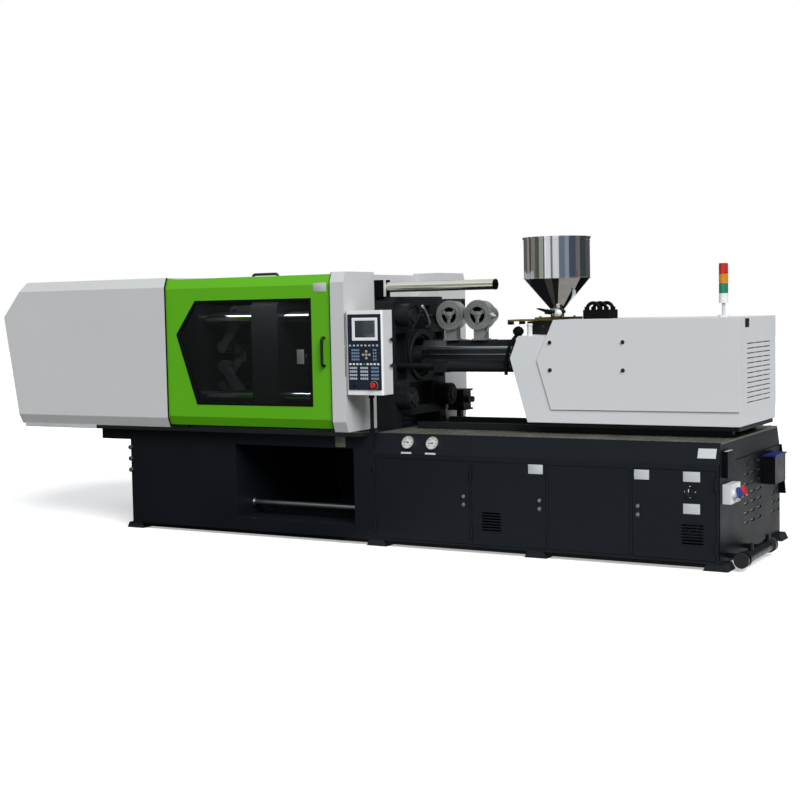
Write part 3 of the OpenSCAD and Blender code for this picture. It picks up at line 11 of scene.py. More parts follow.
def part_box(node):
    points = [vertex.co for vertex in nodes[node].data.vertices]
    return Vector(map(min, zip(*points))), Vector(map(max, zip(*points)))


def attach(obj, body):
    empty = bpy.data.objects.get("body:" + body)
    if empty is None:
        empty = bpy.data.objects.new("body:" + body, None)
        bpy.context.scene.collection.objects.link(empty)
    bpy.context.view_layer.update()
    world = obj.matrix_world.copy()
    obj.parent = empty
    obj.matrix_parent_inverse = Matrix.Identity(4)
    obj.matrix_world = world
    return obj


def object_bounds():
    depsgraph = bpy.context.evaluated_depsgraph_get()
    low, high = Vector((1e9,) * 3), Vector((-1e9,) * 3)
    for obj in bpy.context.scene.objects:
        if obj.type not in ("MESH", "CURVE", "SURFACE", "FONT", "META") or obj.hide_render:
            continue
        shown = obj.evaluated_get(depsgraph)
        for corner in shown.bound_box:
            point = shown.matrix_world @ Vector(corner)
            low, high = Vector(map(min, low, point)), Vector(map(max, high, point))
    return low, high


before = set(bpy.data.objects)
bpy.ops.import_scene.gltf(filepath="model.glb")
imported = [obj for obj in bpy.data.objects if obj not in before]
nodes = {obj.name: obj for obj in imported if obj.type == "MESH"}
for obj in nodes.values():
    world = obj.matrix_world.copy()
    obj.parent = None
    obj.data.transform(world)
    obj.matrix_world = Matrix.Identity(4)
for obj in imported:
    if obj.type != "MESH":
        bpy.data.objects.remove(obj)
solid_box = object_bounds()

MM = 0.001
# Places along the machine are counted from the joint of its two bases
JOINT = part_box("injection_base")[0].x
bpy.context.scene.view_settings.view_transform = "Standard"


# Camera at the photograph's viewing angle
IMAGE_PX = 800
FOCAL_PX = 1416.8
SENSOR_MM = 36.0
CAMERA_AT = Vector((5.650, -9.4736, 1.7192))
CAMERA_YAW, CAMERA_PITCH, CAMERA_ROLL = 0.5222, 0.0648, -0.0206


def set_camera():
    """Camera aimed by yaw, downward pitch and roll."""
    ahead = Vector((-math.sin(CAMERA_YAW) * math.cos(CAMERA_PITCH),
                    math.cos(CAMERA_YAW) * math.cos(CAMERA_PITCH), -math.sin(CAMERA_PITCH)))
    right = Vector((math.cos(CAMERA_YAW), math.sin(CAMERA_YAW), 0.0))
    up = right.cross(ahead)
    rolled_right = math.cos(CAMERA_ROLL) * right + math.sin(CAMERA_ROLL) * up
    rolled_up = -math.sin(CAMERA_ROLL) * right + math.cos(CAMERA_ROLL) * up
    data = bpy.data.cameras.new("camera")
    data.sensor_width = SENSOR_MM
    data.lens = FOCAL_PX / IMAGE_PX * SENSOR_MM
    camera = bpy.data.objects.new("camera", data)
    turn = Matrix((rolled_right, rolled_up, -ahead)).transposed()
    camera.matrix_world = Matrix.Translation(CAMERA_AT) @ turn.to_4x4()
    bpy.context.scene.collection.objects.link(camera)
    bpy.context.scene.camera = camera


def linear(code):
    """sRGB hex colour as linear RGBA."""
    channels = [int(code[i:i + 2], 16) / 255 for i in (1, 3, 5)]
    return (*(c / 12.92 if c <= 0.04045 else ((c + 0.055) / 1.055) ** 2.4 for c in channels), 1.0)


def add(tree, kind, inputs=None, **settings):
    """Adds a node, sets its properties, and links or sets its inputs."""
    node = tree.nodes.new(kind)
    for name, value in settings.items():
        setattr(node, name, value)
    for socket, value in (inputs or {}).items():
        if isinstance(value, bpy.types.NodeSocket):
            tree.links.new(value, node.inputs[socket])
        else:
            node.inputs[socket].default_value = value
    return node


def bare_material(name):
    """Material with an empty node tree, and the tree."""
    material = bpy.data.materials.new(name)
    material.use_nodes = True
    material.node_tree.nodes.clear()
    return material, material.node_tree


# The studio: a white surround for the eye and for reflections, and plain soft light for the surfaces
SKY_SHADE, SKY_LIGHT = "#F7F9FC", 0.42
FLOOR_RADIUS, FLOOR_STEPS = 60.0, 96
FLOOR_SHADE, FLOOR_GLOW, FLOOR_BOUNCE = "#EDEEEF", 0.42, "#4A4B4C"
KEY_FROM, KEY_POWER, KEY_SPREAD = (1.22, -1.0, 1.30), 2.95, math.radians(35)
FILL_FROM, FILL_POWER, FILL_SPREAD = (-0.6, -1.0, 0.6), 0.20, math.radians(60)
# Lamp under the guard's roof, so that the clamp shows through the tinted pane
GUARD_LAMP_W, GUARD_LAMP_SIZE = 11.0, (1.3, 0.2)
GUARD_LAMP_AT, GUARD_LAMP_FROM = (JOINT - 1.15, -0.62, 1.90), (0.0, -0.35, 1.0)
# Upright cards round the hopper: start and end in degrees to the right of the view, and shade
CARD_DISTANCE, CARD_HEIGHT, CARD_STEPS = 8.0, 6.0, 12
CARDS = [(-180, -124, "#6B6565"), (-124, -109, "#A59A98"), (-109, -100, "#4A4040"), (-100, -80, "#8C8A82"),
         (-80, -63, "#5F6058"), (-63, -47, "#AEB4A6"), (-47, -42, "#6B6B6B"), (-21, -14, "#8B8C90"),
         (7, 28, "#7C8B99"), (28, 42, "#A0A7B3"), (42, 68, "#565C6E"), (68, 86, "#7F7D7F"),
         (86, 119, "#474E4C"), (119, 180, "#5B5F60")]
# Level cards that the hopper's cone shows: near and far edge, height, start, end, shade
LEVEL_CARDS = [(1.6, 7.9, 0.02, -178, -60, "#26272A"), (0.09, 0.85, 1.645, -165, -45, "#1B1A1E"),
               (0.09, 0.85, 1.645, -45, -18, "#45443F"), (0.09, 0.85, 1.645, -18, 6, "#201F1F"),
               (0.09, 0.24, 1.655, 6, 75, "#A9A59C"), (0.2, 0.7, 1.75, 6, 75, "#A9A59C"),
               (0.09, 0.24, 1.655, 75, 150, "#141414"), (0.2, 0.7, 1.75, 75, 150, "#141414")]


def seen_by_eye(tree):
    """One for camera, glossy and transmission rays, and nought for the rays that light a surface."""
    path = add(tree, "ShaderNodeLightPath")
    either = add(tree, "ShaderNodeMath", {0: path.outputs["Is Camera Ray"], 1: path.outputs["Is Glossy Ray"]},
                 operation="ADD")
    return add(tree, "ShaderNodeMath", {0: either.outputs[0], 1: path.outputs["Is Transmission Ray"]},
               operation="ADD", use_clamp=True).outputs[0]


def set_world():
    """Soft light for the surfaces, and plain white for the eye."""
    world = bpy.data.worlds.new("studio")
    world.use_nodes = True
    tree = world.node_tree
    tree.nodes.clear()
    soft = add(tree, "ShaderNodeBackground", {"Color": linear(SKY_SHADE), "Strength": SKY_LIGHT})
    white = add(tree, "ShaderNodeBackground", {"Color": (1, 1, 1, 1), "Strength": 1.0})
    mixed = add(tree, "ShaderNodeMixShader", {0: seen_by_eye(tree), 1: soft.outputs[0], 2: white.outputs[0]})
    add(tree, "ShaderNodeOutputWorld", {0: mixed.outputs[0]})
    bpy.context.scene.world = world


def set_lamp(name, kind, source, **settings):
    """Lamp that shines from a direction."""
    data = bpy.data.lights.new(name, kind)
    for setting, value in settings.items():
        setattr(data, setting, value)
    lamp = bpy.data.objects.new(name, data)
    lamp.rotation_mode = "QUATERNION"
    lamp.rotation_quaternion = Vector(source).to_track_quat("Z", "Y")
    bpy.context.scene.collection.objects.link(lamp)
    return lamp


def new_stage(name, bm, material, height=0.0):
    """Mesh that belongs to the studio and not to the machine."""
    mesh = bpy.data.meshes.new(name)
    bm.to_mesh(mesh)
    bm.free()
    mesh.materials.append(material)
    item = bpy.data.objects.new(name, mesh)
    item.location.z = height
    bpy.context.scene.collection.objects.link(item)
    return item


def set_floor():
    """Pale floor that takes the soft shadow and looks white where it is lit."""
    material, tree = bare_material("pale_floor")
    matt = add(tree, "ShaderNodeBsdfDiffuse", {"Color": linear(FLOOR_SHADE)})
    dim = add(tree, "ShaderNodeBsdfDiffuse", {"Color": linear(FLOOR_BOUNCE)})
    glow = add(tree, "ShaderNodeEmission", {"Strength": FLOOR_GLOW})
    both = add(tree, "ShaderNodeAddShader", {0: matt.outputs[0], 1: glow.outputs[0]})
    mixed = add(tree, "ShaderNodeMixShader", {0: seen_by_eye(tree), 1: dim.outputs[0], 2: both.outputs[0]})
    add(tree, "ShaderNodeOutputMaterial", {0: mixed.outputs[0]})
    bm = bmesh.new()
    bmesh.ops.create_circle(bm, cap_ends=True, segments=FLOOR_STEPS, radius=FLOOR_RADIUS)
    new_stage("floor", bm, material, solid_box[0].z)


def set_card(name, rims, start, end, shade):
    """Curved card between two rims, each a radius and a height, that only shows in metal and gloss."""
    low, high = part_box("hopper")
    middle_x, middle_y = (low.x + high.x) / 2, (low.y + high.y) / 2
    ahead = math.atan2(CAMERA_AT.y - middle_y, CAMERA_AT.x - middle_x)
    material, tree = bare_material(name)
    glow = add(tree, "ShaderNodeEmission", {"Color": linear(shade), "Strength": 1.0})
    add(tree, "ShaderNodeOutputMaterial", {0: glow.outputs[0]})
    bm = bmesh.new()
    rails = []
    for i in range(CARD_STEPS + 1):
        angle = ahead + math.radians(start + (end - start) * i / CARD_STEPS)
        out_x, out_y = math.cos(angle), math.sin(angle)
        rails.append([bm.verts.new((middle_x + radius * out_x, middle_y + radius * out_y, height))
                      for radius, height in rims])
    for a, b in zip(rails, rails[1:]):
        bm.faces.new((a[0], b[0], b[1], a[1]))
    card = new_stage(name, bm, material)
    card.visible_camera = card.visible_diffuse = card.visible_shadow = False
    card.visible_transmission = card.visible_volume_scatter = False


def set_cards():
    """Cards that the hopper mirrors."""
    for number, (start, end, shade) in enumerate(CARDS):
        rims = [(CARD_DISTANCE, 0.0), (CARD_DISTANCE, CARD_HEIGHT)]
        set_card(f"studio_card_{number}", rims, start, end, shade)
    for number, (near, far, height, start, end, shade) in enumerate(LEVEL_CARDS):
        set_card(f"level_card_{number}", [(near, height), (far, height)], start, end, shade)


# Range that a noise mostly fills, the swing it gives to roughness, and a grain's depth as a share of its size
NOISE_LOW, NOISE_HIGH = 0.3, 0.7
SMOOTHEST, ROUGHEST = 0.9, 1.12
GRAIN_DEPTH = 0.25


def finish(name, colour, roughness, metallic=0.0, *, tone, tone_mm, grain=0.0, grain_mm=6, edge_mm=0.0,
           stretch=(1, 1, 1), sheen=0.5, **shader):
    """Surface with a slow change of tone, a fine grain in its relief and softened edges.
    colour is a hex value, or a function that gives a colour socket of the tree."""
    material, tree = bare_material(name)
    place = add(tree, "ShaderNodeTexCoord").outputs["Object"]
    drawn = add(tree, "ShaderNodeMapping", {"Vector": place, "Scale": stretch}).outputs[0]
    slow = add(tree, "ShaderNodeTexNoise", {"Vector": drawn, "Scale": 1 / (tone_mm * MM), "Detail": 3.0})
    base = linear(colour) if isinstance(colour, str) else colour(tree, place)
    swing = {0: slow.outputs[0], 1: NOISE_LOW, 2: NOISE_HIGH}
    shade = add(tree, "ShaderNodeMapRange", {**swing, 3: 1 - tone, 4: 1 + tone})
    tinted = add(tree, "ShaderNodeMix", {0: 1.0, 6: base, 7: shade.outputs[0]},
                 data_type="RGBA", blend_type="MULTIPLY")
    rough = add(tree, "ShaderNodeMapRange",
                {**swing, 3: roughness * SMOOTHEST, 4: min(1.0, roughness * ROUGHEST)})
    bsdf = add(tree, "ShaderNodeBsdfPrincipled", {
        "Base Color": tinted.outputs[2], "Roughness": rough.outputs[0], "Metallic": metallic,
        "Specular IOR Level": sheen, **shader})
    normal = None
    if edge_mm:
        normal = add(tree, "ShaderNodeBevel", {"Radius": edge_mm * MM}, samples=4).outputs[0]
    if grain:
        fine = add(tree, "ShaderNodeTexNoise", {"Vector": drawn, "Scale": 1 / (grain_mm * MM), "Detail": 2.0})
        relief = {"Strength": grain, "Distance": GRAIN_DEPTH * grain_mm * MM, "Height": fine.outputs[0]}
        if normal:
            relief["Normal"] = normal
        normal = add(tree, "ShaderNodeBump", relief).outputs[0]
    if normal:
        tree.links.new(normal, bsdf.inputs["Normal"])
    add(tree, "ShaderNodeOutputMaterial", {0: bsdf.outputs[0]})
    return material


def bands(axis, start, stops):
    """Colour that changes along an axis: each stop is the place where its band ends, and its colour."""
    def build(tree, place):
        along = add(tree, "ShaderNodeSeparateXYZ", {0: place}).outputs[axis]
        span = stops[-1][0] - start
        share = add(tree, "ShaderNodeMapRange", {0: along, 1: start, 2: stops[-1][0]})
        ramp = add(tree, "ShaderNodeValToRGB", {0: share.outputs[0]})
        ramp.color_ramp.interpolation = "CONSTANT"
        ends = [0.0] + [(stop[0] - start) / span for stop in stops[:-1]]
        while len(ramp.color_ramp.elements) < len(stops):
            ramp.color_ramp.elements.new(0.5)
        for element, end, stop in zip(ramp.color_ramp.elements, ends, stops):
            element.position = end
            element.color = linear(stop[1])
        return ramp.outputs[0]
    return build


# Axes of a band, and places past either end of the machine
X, Y, Z = 0, 1, 2
BEHIND_ALL, ABOVE_ALL = 2.0, 3.0

# Painted steel sheet
# Off-white powder coat: a fine orange peel, satin, drawn coarser than its real 2 mm so that it shows
OFF_WHITE, BLACK = "#CFD1D1", "#0E0F10"
COAT = {"tone": 0.015, "tone_mm": 900, "grain": 0.05, "grain_mm": 8, "edge_mm": 4}
off_white = finish("off_white_powder_coat", OFF_WHITE, 0.42, sheen=0.3, **COAT)
# The same coat, a shade whiter, on the injection unit's cover
cover_white = finish("white_powder_coat", "#DEE1E3", 0.42, sheen=0.3, **COAT)
# The off-white coat of the rear door and the roof guard, and the black handle that stands out of each
HANDLE_OUT = 0.0448
rear_high, roof_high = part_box("rear_door")[1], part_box("top_guard")[1]
rear_coat = finish("off_white_coat_black_handle", bands(Y, 0.0, [
    (rear_high.y - HANDLE_OUT, OFF_WHITE), (rear_high.y, BLACK)]), 0.42, **COAT)
roof_coat = finish("off_white_roof_black_handle", bands(Z, 0.0, [
    (roof_high.z - HANDLE_OUT, OFF_WHITE), (roof_high.z, BLACK)]), 0.42, **COAT)
# Light grey powder coat of the control box, brightest on the rim round its front, where painted light lifts
# it above its sides
PANEL_RIM = 0.011
panel_grey = finish("light_grey_coat_painted_lit_rim", bands(Y, -BEHIND_ALL, [
    (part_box("control_box")[0].y + PANEL_RIM, "#F4F5F5"), (BEHIND_ALL, "#DADDDC")]), 0.40,
    tone=0.02, tone_mm=300, grain=0.05, grain_mm=6, edge_mm=4)
# Gloss green enamel on the sliding door, over the black shoes that it runs on
DOOR_SHOE_H, DOOR_BAND_TOP = 0.0195, 2.2
green = finish("green_enamel_black_shoes", bands(Z, 0.0, [
    (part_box("front_door")[0].z + DOOR_SHOE_H, BLACK), (DOOR_BAND_TOP, "#5FB318")]), 0.32,
    tone=0.03, tone_mm=900, grain=0.03, grain_mm=10, edge_mm=5, sheen=0.25,
    **{"Coat Weight": 0.06, "Coat Roughness": 0.2})
# Very dark blue-grey textured coat of the bases
base_dark = finish("dark_textured_powder_coat", "#11161B", 0.50, tone=0.10, tone_mm=700, grain=0.12,
                   grain_mm=7, edge_mm=4, sheen=0.12)
# The same coat on the right end: smoother and blotched with oil, and darker with painted shade against the
# key lamp that falls full on that end
end_coat = finish("polished_coat_painted_shade", "#06090B", 0.42, tone=0.25, tone_mm=260, grain=0.10,
                  grain_mm=7, edge_mm=4, sheen=0.06)
# Tread plate: the coat is worn to a grey brown where it is walked on, and lightest on the ribs, where wear
# and a painted highlight both lighten it
RIB_H = 0.004
tread_dark = finish("worn_tread_coat_painted_rib_highlights", bands(Z, 0.0, [
    (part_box("tread_deck")[1].z - RIB_H / 2, "#5A5B53"), (ABOVE_ALL, "#B0B1AA")]), 0.40,
    tone=0.25, tone_mm=160, grain=0.15, grain_mm=6, edge_mm=3, sheen=0.25)
# Blue-grey enamel on the motors
motor_blue = finish("blue_grey_enamel", "#4A6170", 0.38, tone=0.06, tone_mm=200, grain=0.06, grain_mm=5,
                    edge_mm=3)
# Enamel of the oil cooler's shell, paler at its ends
COOLER_NEAR_CAP, COOLER_FAR_CAP = 0.026, 0.086
cooler_low, cooler_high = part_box("oil_cooler")
cooler_enamel = finish("black_enamel_and_bright_ends", bands(Y, cooler_low.y, [
    (cooler_low.y + COOLER_NEAR_CAP, "#15181B"), (cooler_high.y - COOLER_FAR_CAP, "#090B0D"),
    (cooler_high.y, "#2A2E32")]), 0.38, tone=0.08, tone_mm=60, edge_mm=2, sheen=0.2)

# Metals
# Ductile iron casting under dark machine paint: pebbled as the sand mould left it
cast_dark = finish("painted_iron_casting", "#171A1D", 0.48, tone=0.18, tone_mm=260, grain=0.35, grain_mm=14,
                   edge_mm=6, sheen=0.15)
# The same casting in the grey paint of the moving platen
cast_grey = finish("grey_painted_iron_casting", "#2A2E30", 0.45, tone=0.15, tone_mm=260, grain=0.30,
                   grain_mm=14, edge_mm=6, sheen=0.2)
# Door rail: dark over the base, and where it runs on under the hood, in the guard's coat darkened with
# painted shade
RAIL_BAND_FROM, RAIL_BAND_TO = -4.0, 3.0
rail_paint = finish("rail_paint", bands(X, RAIL_BAND_FROM, [
    (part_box("clamp_base")[0].x, "#BFC1C1"), (RAIL_BAND_TO, "#1B1D1C")]), 0.45,
    tone=0.10, tone_mm=260, edge_mm=3, sheen=0.15)
# Machined ductile iron of the links
link_iron = finish("machined_iron", "#6B7074", 0.38, 0.8, tone=0.08, tone_mm=120, grain=0.08, grain_mm=4,
                   edge_mm=3)
# Ground and hard chromed bar
chrome = finish("hard_chrome", "#D9DCDF", 0.10, 1.0, tone=0.02, tone_mm=300)
# Machined steel, lightly oiled
steel = finish("machined_steel", "#9BA0A4", 0.34, 1.0, tone=0.08, tone_mm=150, grain=0.04, grain_mm=3,
               stretch=(0.1, 1, 1), edge_mm=2)
# Polished stainless sheet of the hopper, whose sheen runs in upright streaks, on a brown zinc flange
FLANGE_T = 14
stainless = finish("polished_stainless_sheet", bands(Z, 0.0, [
    (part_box("hopper")[0].z + FLANGE_T * MM, "#7D6C48"), (ABOVE_ALL, "#C9CCCF")]), 0.06, 1.0,
    tone=0.10, tone_mm=40, stretch=(1, 1, 0.05))
# Dark metallic sheet round the barrel in bands of painted light: painted shade between its folds, a painted
# highlight along its upper fold and paler bands low down, a painted reflection of the floor
barrel_sheet = finish("dark_sheet_painted_fold_light", bands(Z, 0.0, [
    (1.300, "#565B60"), (1.335, "#44494D"), (1.395, "#2C2F32"), (1.418, "#6C7278"),
    (ABOVE_ALL, "#4A4E52")]), 0.33, 0.85, tone=0.10, tone_mm=200, grain=0.03, grain_mm=4,
    stretch=(0.2, 1, 1), edge_mm=3)
# Grey die-cast aluminium of the blowers
blower_cast = finish("die_cast_aluminium", "#8E9190", 0.40, 0.55, tone=0.08, tone_mm=60, grain=0.15,
                     grain_mm=5, edge_mm=3)
# Slide plate in olive passivated zinc over the dark casting of the throat
SLIDE_T = 0.013
zinc_olive = finish("olive_zinc_plate", bands(Z, 0.0, [
    (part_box("hopper_seat")[1].z - SLIDE_T, "#101214"), (ABOVE_ALL, "#857A4E")]), 0.38, 0.8,
    tone=0.22, tone_mm=70, grain=0.04, grain_mm=3, edge_mm=2)
# Chromed gauge case
gauge_case = finish("chromed_gauge_case", "#D2D5D8", 0.14, 1.0, tone=0.02, tone_mm=100)
# Safety tube: dark bracket, bright tube, black cap
TUBE_BRACKET, TUBE_COLLAR, TUBE_CAP = 0.0795, 0.095, 0.0145
tube_start, tube_end = (corner.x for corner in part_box("safety_tube"))
tube_metal = finish("bright_tube_dark_ends", bands(X, tube_start, [
    (tube_start + TUBE_BRACKET, "#121416"), (tube_start + TUBE_COLLAR, "#B4B5AF"),
    (tube_end - TUBE_CAP, "#C6C6BC"), (tube_end, BLACK)]), 0.20, 0.95, tone=0.03, tone_mm=200)
# Bare satin plates
pale_plate = finish("satin_anodised_plate", "#C6CACB", 0.42, 0.25, tone=0.05, tone_mm=60, grain=0.05,
                    grain_mm=3, stretch=(0.1, 1, 1))
# A plate under an oily film
olive_plate = finish("oily_plate", "#6C6F5E", 0.45, tone=0.12, tone_mm=40, grain=0.05, grain_mm=4)
# Bright zinc plate of screws and couplings
zinc = finish("bright_zinc_plate", "#B7BBBE", 0.30, 0.95, tone=0.08, tone_mm=30)

# Plastics, rubber, glass and card
# Smoke tinted polycarbonate pane: dark, clear and glossy, so the clamp shows dimly behind it
tinted_pane = finish("smoke_polycarbonate", "#141718", 0.05, tone=0.01, tone_mm=500, sheen=0.25, Alpha=0.5)
# Moulded black nylon with a spark-eroded texture
black_plastic = finish("black_nylon", BLACK, 0.42, tone=0.06, tone_mm=40, grain=0.10, grain_mm=3, edge_mm=2,
                       sheen=0.25)
# Black hose rubber, slightly dusty
rubber = finish("black_rubber", "#070808", 0.62, tone=0.15, tone_mm=50, grain=0.10, grain_mm=4, sheen=0.1)
# Dark navy moulded front of the key panel
navy = finish("navy_panel_plastic", "#1B2434", 0.38, tone=0.03, tone_mm=80, grain=0.05, grain_mm=3, edge_mm=2,
              sheen=0.2)
# Gloss red moulding of the emergency stop
red_plastic = finish("red_moulding", "#C3231C", 0.26, tone=0.02, tone_mm=30, edge_mm=2)
# White moulding of the socket box
socket_white = finish("white_moulding", "#E3E5E6", 0.32, tone=0.02, tone_mm=60, edge_mm=3)
# Gloss mouldings of the socket lid and of the stop button's collar
blue_plastic = finish("blue_moulding", "#1D3C8C", 0.28, tone=0.02, tone_mm=30, edge_mm=2)
yellow_plastic = finish("yellow_moulding", "#D8AE14", 0.34, tone=0.03, tone_mm=30, edge_mm=1)
# Anti-glare glass of a screen that is switched off
display_glass = finish("dark_display_glass", "#3A4048", 0.16, tone=0.05, tone_mm=90)
# Caps of the keypad: matt moulded plastic
pale_key = finish("pale_key_caps", "#B9C4CE", 0.5, tone=0.05, tone_mm=25)
blue_key = finish("blue_key_caps", "#7690A8", 0.5, tone=0.05, tone_mm=25)
white_key = finish("white_key_caps", "#E6EAEC", 0.5, tone=0.03, tone_mm=25)
sand_key = finish("sand_key_caps", "#B4AC96", 0.5, tone=0.05, tone_mm=25)
green_key = finish("green_key_caps", "#1C8C4C", 0.45, tone=0.03, tone_mm=25)
# Printed card of a dial
white_card = finish("white_dial_card", "#C2C4C1", 0.6, tone=0.02, tone_mm=30)
# Grey water hose
pale_hose = finish("grey_pvc_hose", "#5E6468", 0.40, tone=0.06, tone_mm=40)
# Lenses of the light tower over a white foot
LENS_H, TOWER_FOOT, TOWER_CAP = 0.066, 0.012, 0.006
tower_low, tower_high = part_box("light_tower")
lens_start = tower_high.z - TOWER_CAP - 4 * LENS_H
tower_plastic = finish("coloured_polycarbonate_lenses", bands(Z, tower_low.z, [
    (tower_low.z + TOWER_FOOT, "#D9DCDD"), (lens_start, "#C9CDCF"), (lens_start + LENS_H, "#E6E8E6"),
    (lens_start + 2 * LENS_H, "#1C7F63"), (lens_start + 3 * LENS_H, "#D98A12"),
    (tower_high.z, "#C4281E")]), 0.22, tone=0.03, tone_mm=30, edge_mm=2)
# Black junction box under a dark blue lid
JUNCTION_LID = 0.0125
junction_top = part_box("junction_box")[1].z
junction_plastic = finish("black_box_blue_lid", bands(Z, 0.0, [
    (junction_top - JUNCTION_LID, "#07080A"), (junction_top, "#232A66")]), 0.40,
    tone=0.05, tone_mm=60, edge_mm=3, sheen=0.15)


def dress(material, *names):
    """Gives CAD nodes their finish."""
    for name in names:
        for slot in nodes[name].material_slots:
            slot.material = material


dress(off_white, "clamp_hood", "column_covers")
dress(cover_white, "injection_cover")
dress(rear_coat, "rear_door")
dress(roof_coat, "top_guard")
dress(panel_grey, "control_box", "switchgear")
dress(green, "front_door")
dress(base_dark, "clamp_base", "injection_base", "fascia_covers", "cabinet_door_1", "cabinet_door_2",
      "cabinet_door_4")
dress(end_coat, "end_panel")
dress(tread_dark, "tread_deck")
dress(motor_blue, "pump_motor", "screw_drive")
dress(cooler_enamel, "oil_cooler")
dress(cast_dark, "levelling_pads", "stationary_platen", "tie_bar_nuts", "tail_platen", "clamp_cylinder",
      "carriage", "pull_cylinders", "valve_block", "carriage_rails")
dress(cast_grey, "moving_platen")
dress(rail_paint, "door_rails")
dress(link_iron, "rear_link_upper", "rear_link_lower", "front_link_upper", "front_link_lower", "crosshead",
      "cross_link_upper", "cross_link_lower")
dress(chrome, "tie_bars", "safety_bar", "ejector_rod", "screw")
dress(steel, "barrel")
dress(stainless, "hopper")
dress(barrel_sheet, "barrel_cover")
dress(blower_cast, "blower_casings")
dress(zinc_olive, "hopper_seat")
dress(gauge_case, "pressure_gauges")
dress(tube_metal, "safety_tube")
dress(tinted_pane, "front_window")
dress(black_plastic, "impeller_1", "impeller_2", "front_handle", "main_switch")
dress(rubber, "panel_conduit", "hose_set")
dress(navy, "key_panel")
dress(red_plastic, "estop_button")
dress(socket_white, "socket_station")
dress(tower_plastic, "light_tower")
dress(junction_plastic, "junction_box")


# Millimetres from the joint of the bases, the middle plane and the floor, to the frame
TO_FRAME = Matrix.Translation((JOINT, 0.0, 0.0)) @ Matrix.Scale(MM, 4)
SHARP_FROM = math.radians(35)
MERGE_MM = 0.001
PATH_PARTS = 8


def place_of(node):
    """Lowest and highest corners of a solid, in millimetres from the joint of the bases."""
    to_joint = TO_FRAME.inverted()
    return [to_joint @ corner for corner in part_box(node)]


def new_piece(name, mesh, material, body):
    """Mesh drawn in millimetres as a piece of the machine that rides on a body."""
    mesh.transform(TO_FRAME)
    mesh.shade_smooth()
    mesh.set_sharp_from_angle(angle=SHARP_FROM)
    mesh.materials.clear()
    mesh.materials.append(material)
    made = bpy.data.objects.new(name, mesh)
    bpy.context.scene.collection.objects.link(made)
    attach(made, body)


@contextmanager
def piece(name, material, body="frame"):
    """Gives a mesh to add shapes to, then merges doubles, turns the faces outwards and makes the piece."""
    bm = bmesh.new()
    yield bm
    bmesh.ops.remove_doubles(bm, verts=bm.verts, dist=MERGE_MM)
    bmesh.ops.recalc_face_normals(bm, faces=bm.faces)
    mesh = bpy.data.meshes.new(name)
    bm.to_mesh(mesh)
    bm.free()
    new_piece(name, mesh, material, body)


def add_block(bm, low, high, edge):
    """Block between two corners with rounded edges."""
    low, high = Vector(low), Vector(high)
    made = bmesh.ops.create_cube(bm, size=1.0)["verts"]
    for vert in made:
        vert.co = [low[i] + (vert.co[i] + 0.5) * (high[i] - low[i]) for i in range(3)]
    edges = dict.fromkeys(e for vert in made for e in vert.link_edges)
    bmesh.ops.bevel(bm, geom=list(edges), offset=edge, segments=2, profile=0.5, affect="EDGES")


def axis_frame(axis):
    """Axis of unit length and two directions square to it."""
    axis = Vector(axis).normalized()
    side = axis.orthogonal().normalized()
    return axis, side, axis.cross(side)


def add_ring(bm, centre, side, other, radius, steps):
    """Circle of points in the plane of two directions."""
    angles = (math.tau * i / steps for i in range(steps))
    return [bm.verts.new(centre + radius * (side * math.cos(a) + other * math.sin(a))) for a in angles]


def join_loops(bm, loops, closed=True):
    """Faces between neighbouring loops and, if closed, from the last loop back to the first."""
    for a, b in zip(loops, loops[1:] + loops[:1] if closed else loops[1:]):
        for i in range(len(a)):
            j = (i + 1) % len(a)
            bm.faces.new((a[i], a[j], b[j], b[i]))


def add_turned(bm, centre, axis, profile, steps=32):
    """Turned shape: the profile's points are a distance along the axis and a radius, from end to end."""
    centre = Vector(centre)
    axis, side, other = axis_frame(axis)
    rings = []
    for along, radius in profile:
        middle = centre + axis * along
        rings.append(add_ring(bm, middle, side, other, radius, steps) if radius else [bm.verts.new(middle)])
    for a, b in zip(rings, rings[1:]):
        for i in range(steps):
            corners = [a[i % len(a)], a[(i + 1) % len(a)], b[(i + 1) % len(b)], b[i % len(b)]]
            bm.faces.new(list(dict.fromkeys(corners)))
    for ring in (rings[0], rings[-1]):
        if len(ring) > 1:
            bm.faces.new(ring)


def add_washer(bm, centre, axis, inner, outer, thick, steps=40):
    """Flat ring of a thickness along its axis, with its edges broken."""
    cut = min(thick, outer - inner) * 0.25
    section = [(0, inner), (0, outer), (thick - cut, outer), (thick, outer - cut), (thick, inner + cut),
               (thick - cut, inner)]
    centre = Vector(centre)
    axis, side, other = axis_frame(axis)
    join_loops(bm, [add_ring(bm, centre + axis * along, side, other, radius, steps)
                    for along, radius in section])


def smooth_path(points):
    """Curve that runs smoothly through points."""
    points = [Vector(p) for p in points]
    ends = [2 * points[0] - points[1]] + points + [2 * points[-1] - points[-2]]
    path = []
    for a, b, c, d in zip(ends, ends[1:], ends[2:], ends[3:]):
        for i in range(PATH_PARTS):
            t = i / PATH_PARTS
            path.append(0.5 * (2 * b + (c - a) * t + (2 * a - 5 * b + 4 * c - d) * t ** 2
                               + (3 * b - a - 3 * c + d) * t ** 3))
    return path + [points[-1]]


def add_pipe(bm, points, radius, steps=14):
    """Round pipe or hose that runs smoothly through points, closed at both ends."""
    path = smooth_path(points)
    side = (path[1] - path[0]).normalized().orthogonal().normalized()
    rings = []
    for i, spot in enumerate(path):
        ahead = (path[min(i + 1, len(path) - 1)] - path[max(i - 1, 0)]).normalized()
        side = (side - ahead * side.dot(ahead)).normalized()
        rings.append(add_ring(bm, spot, side, ahead.cross(side), radius, steps))
    join_loops(bm, rings, closed=False)
    bm.faces.new(rings[0])
    bm.faces.new(rings[-1])


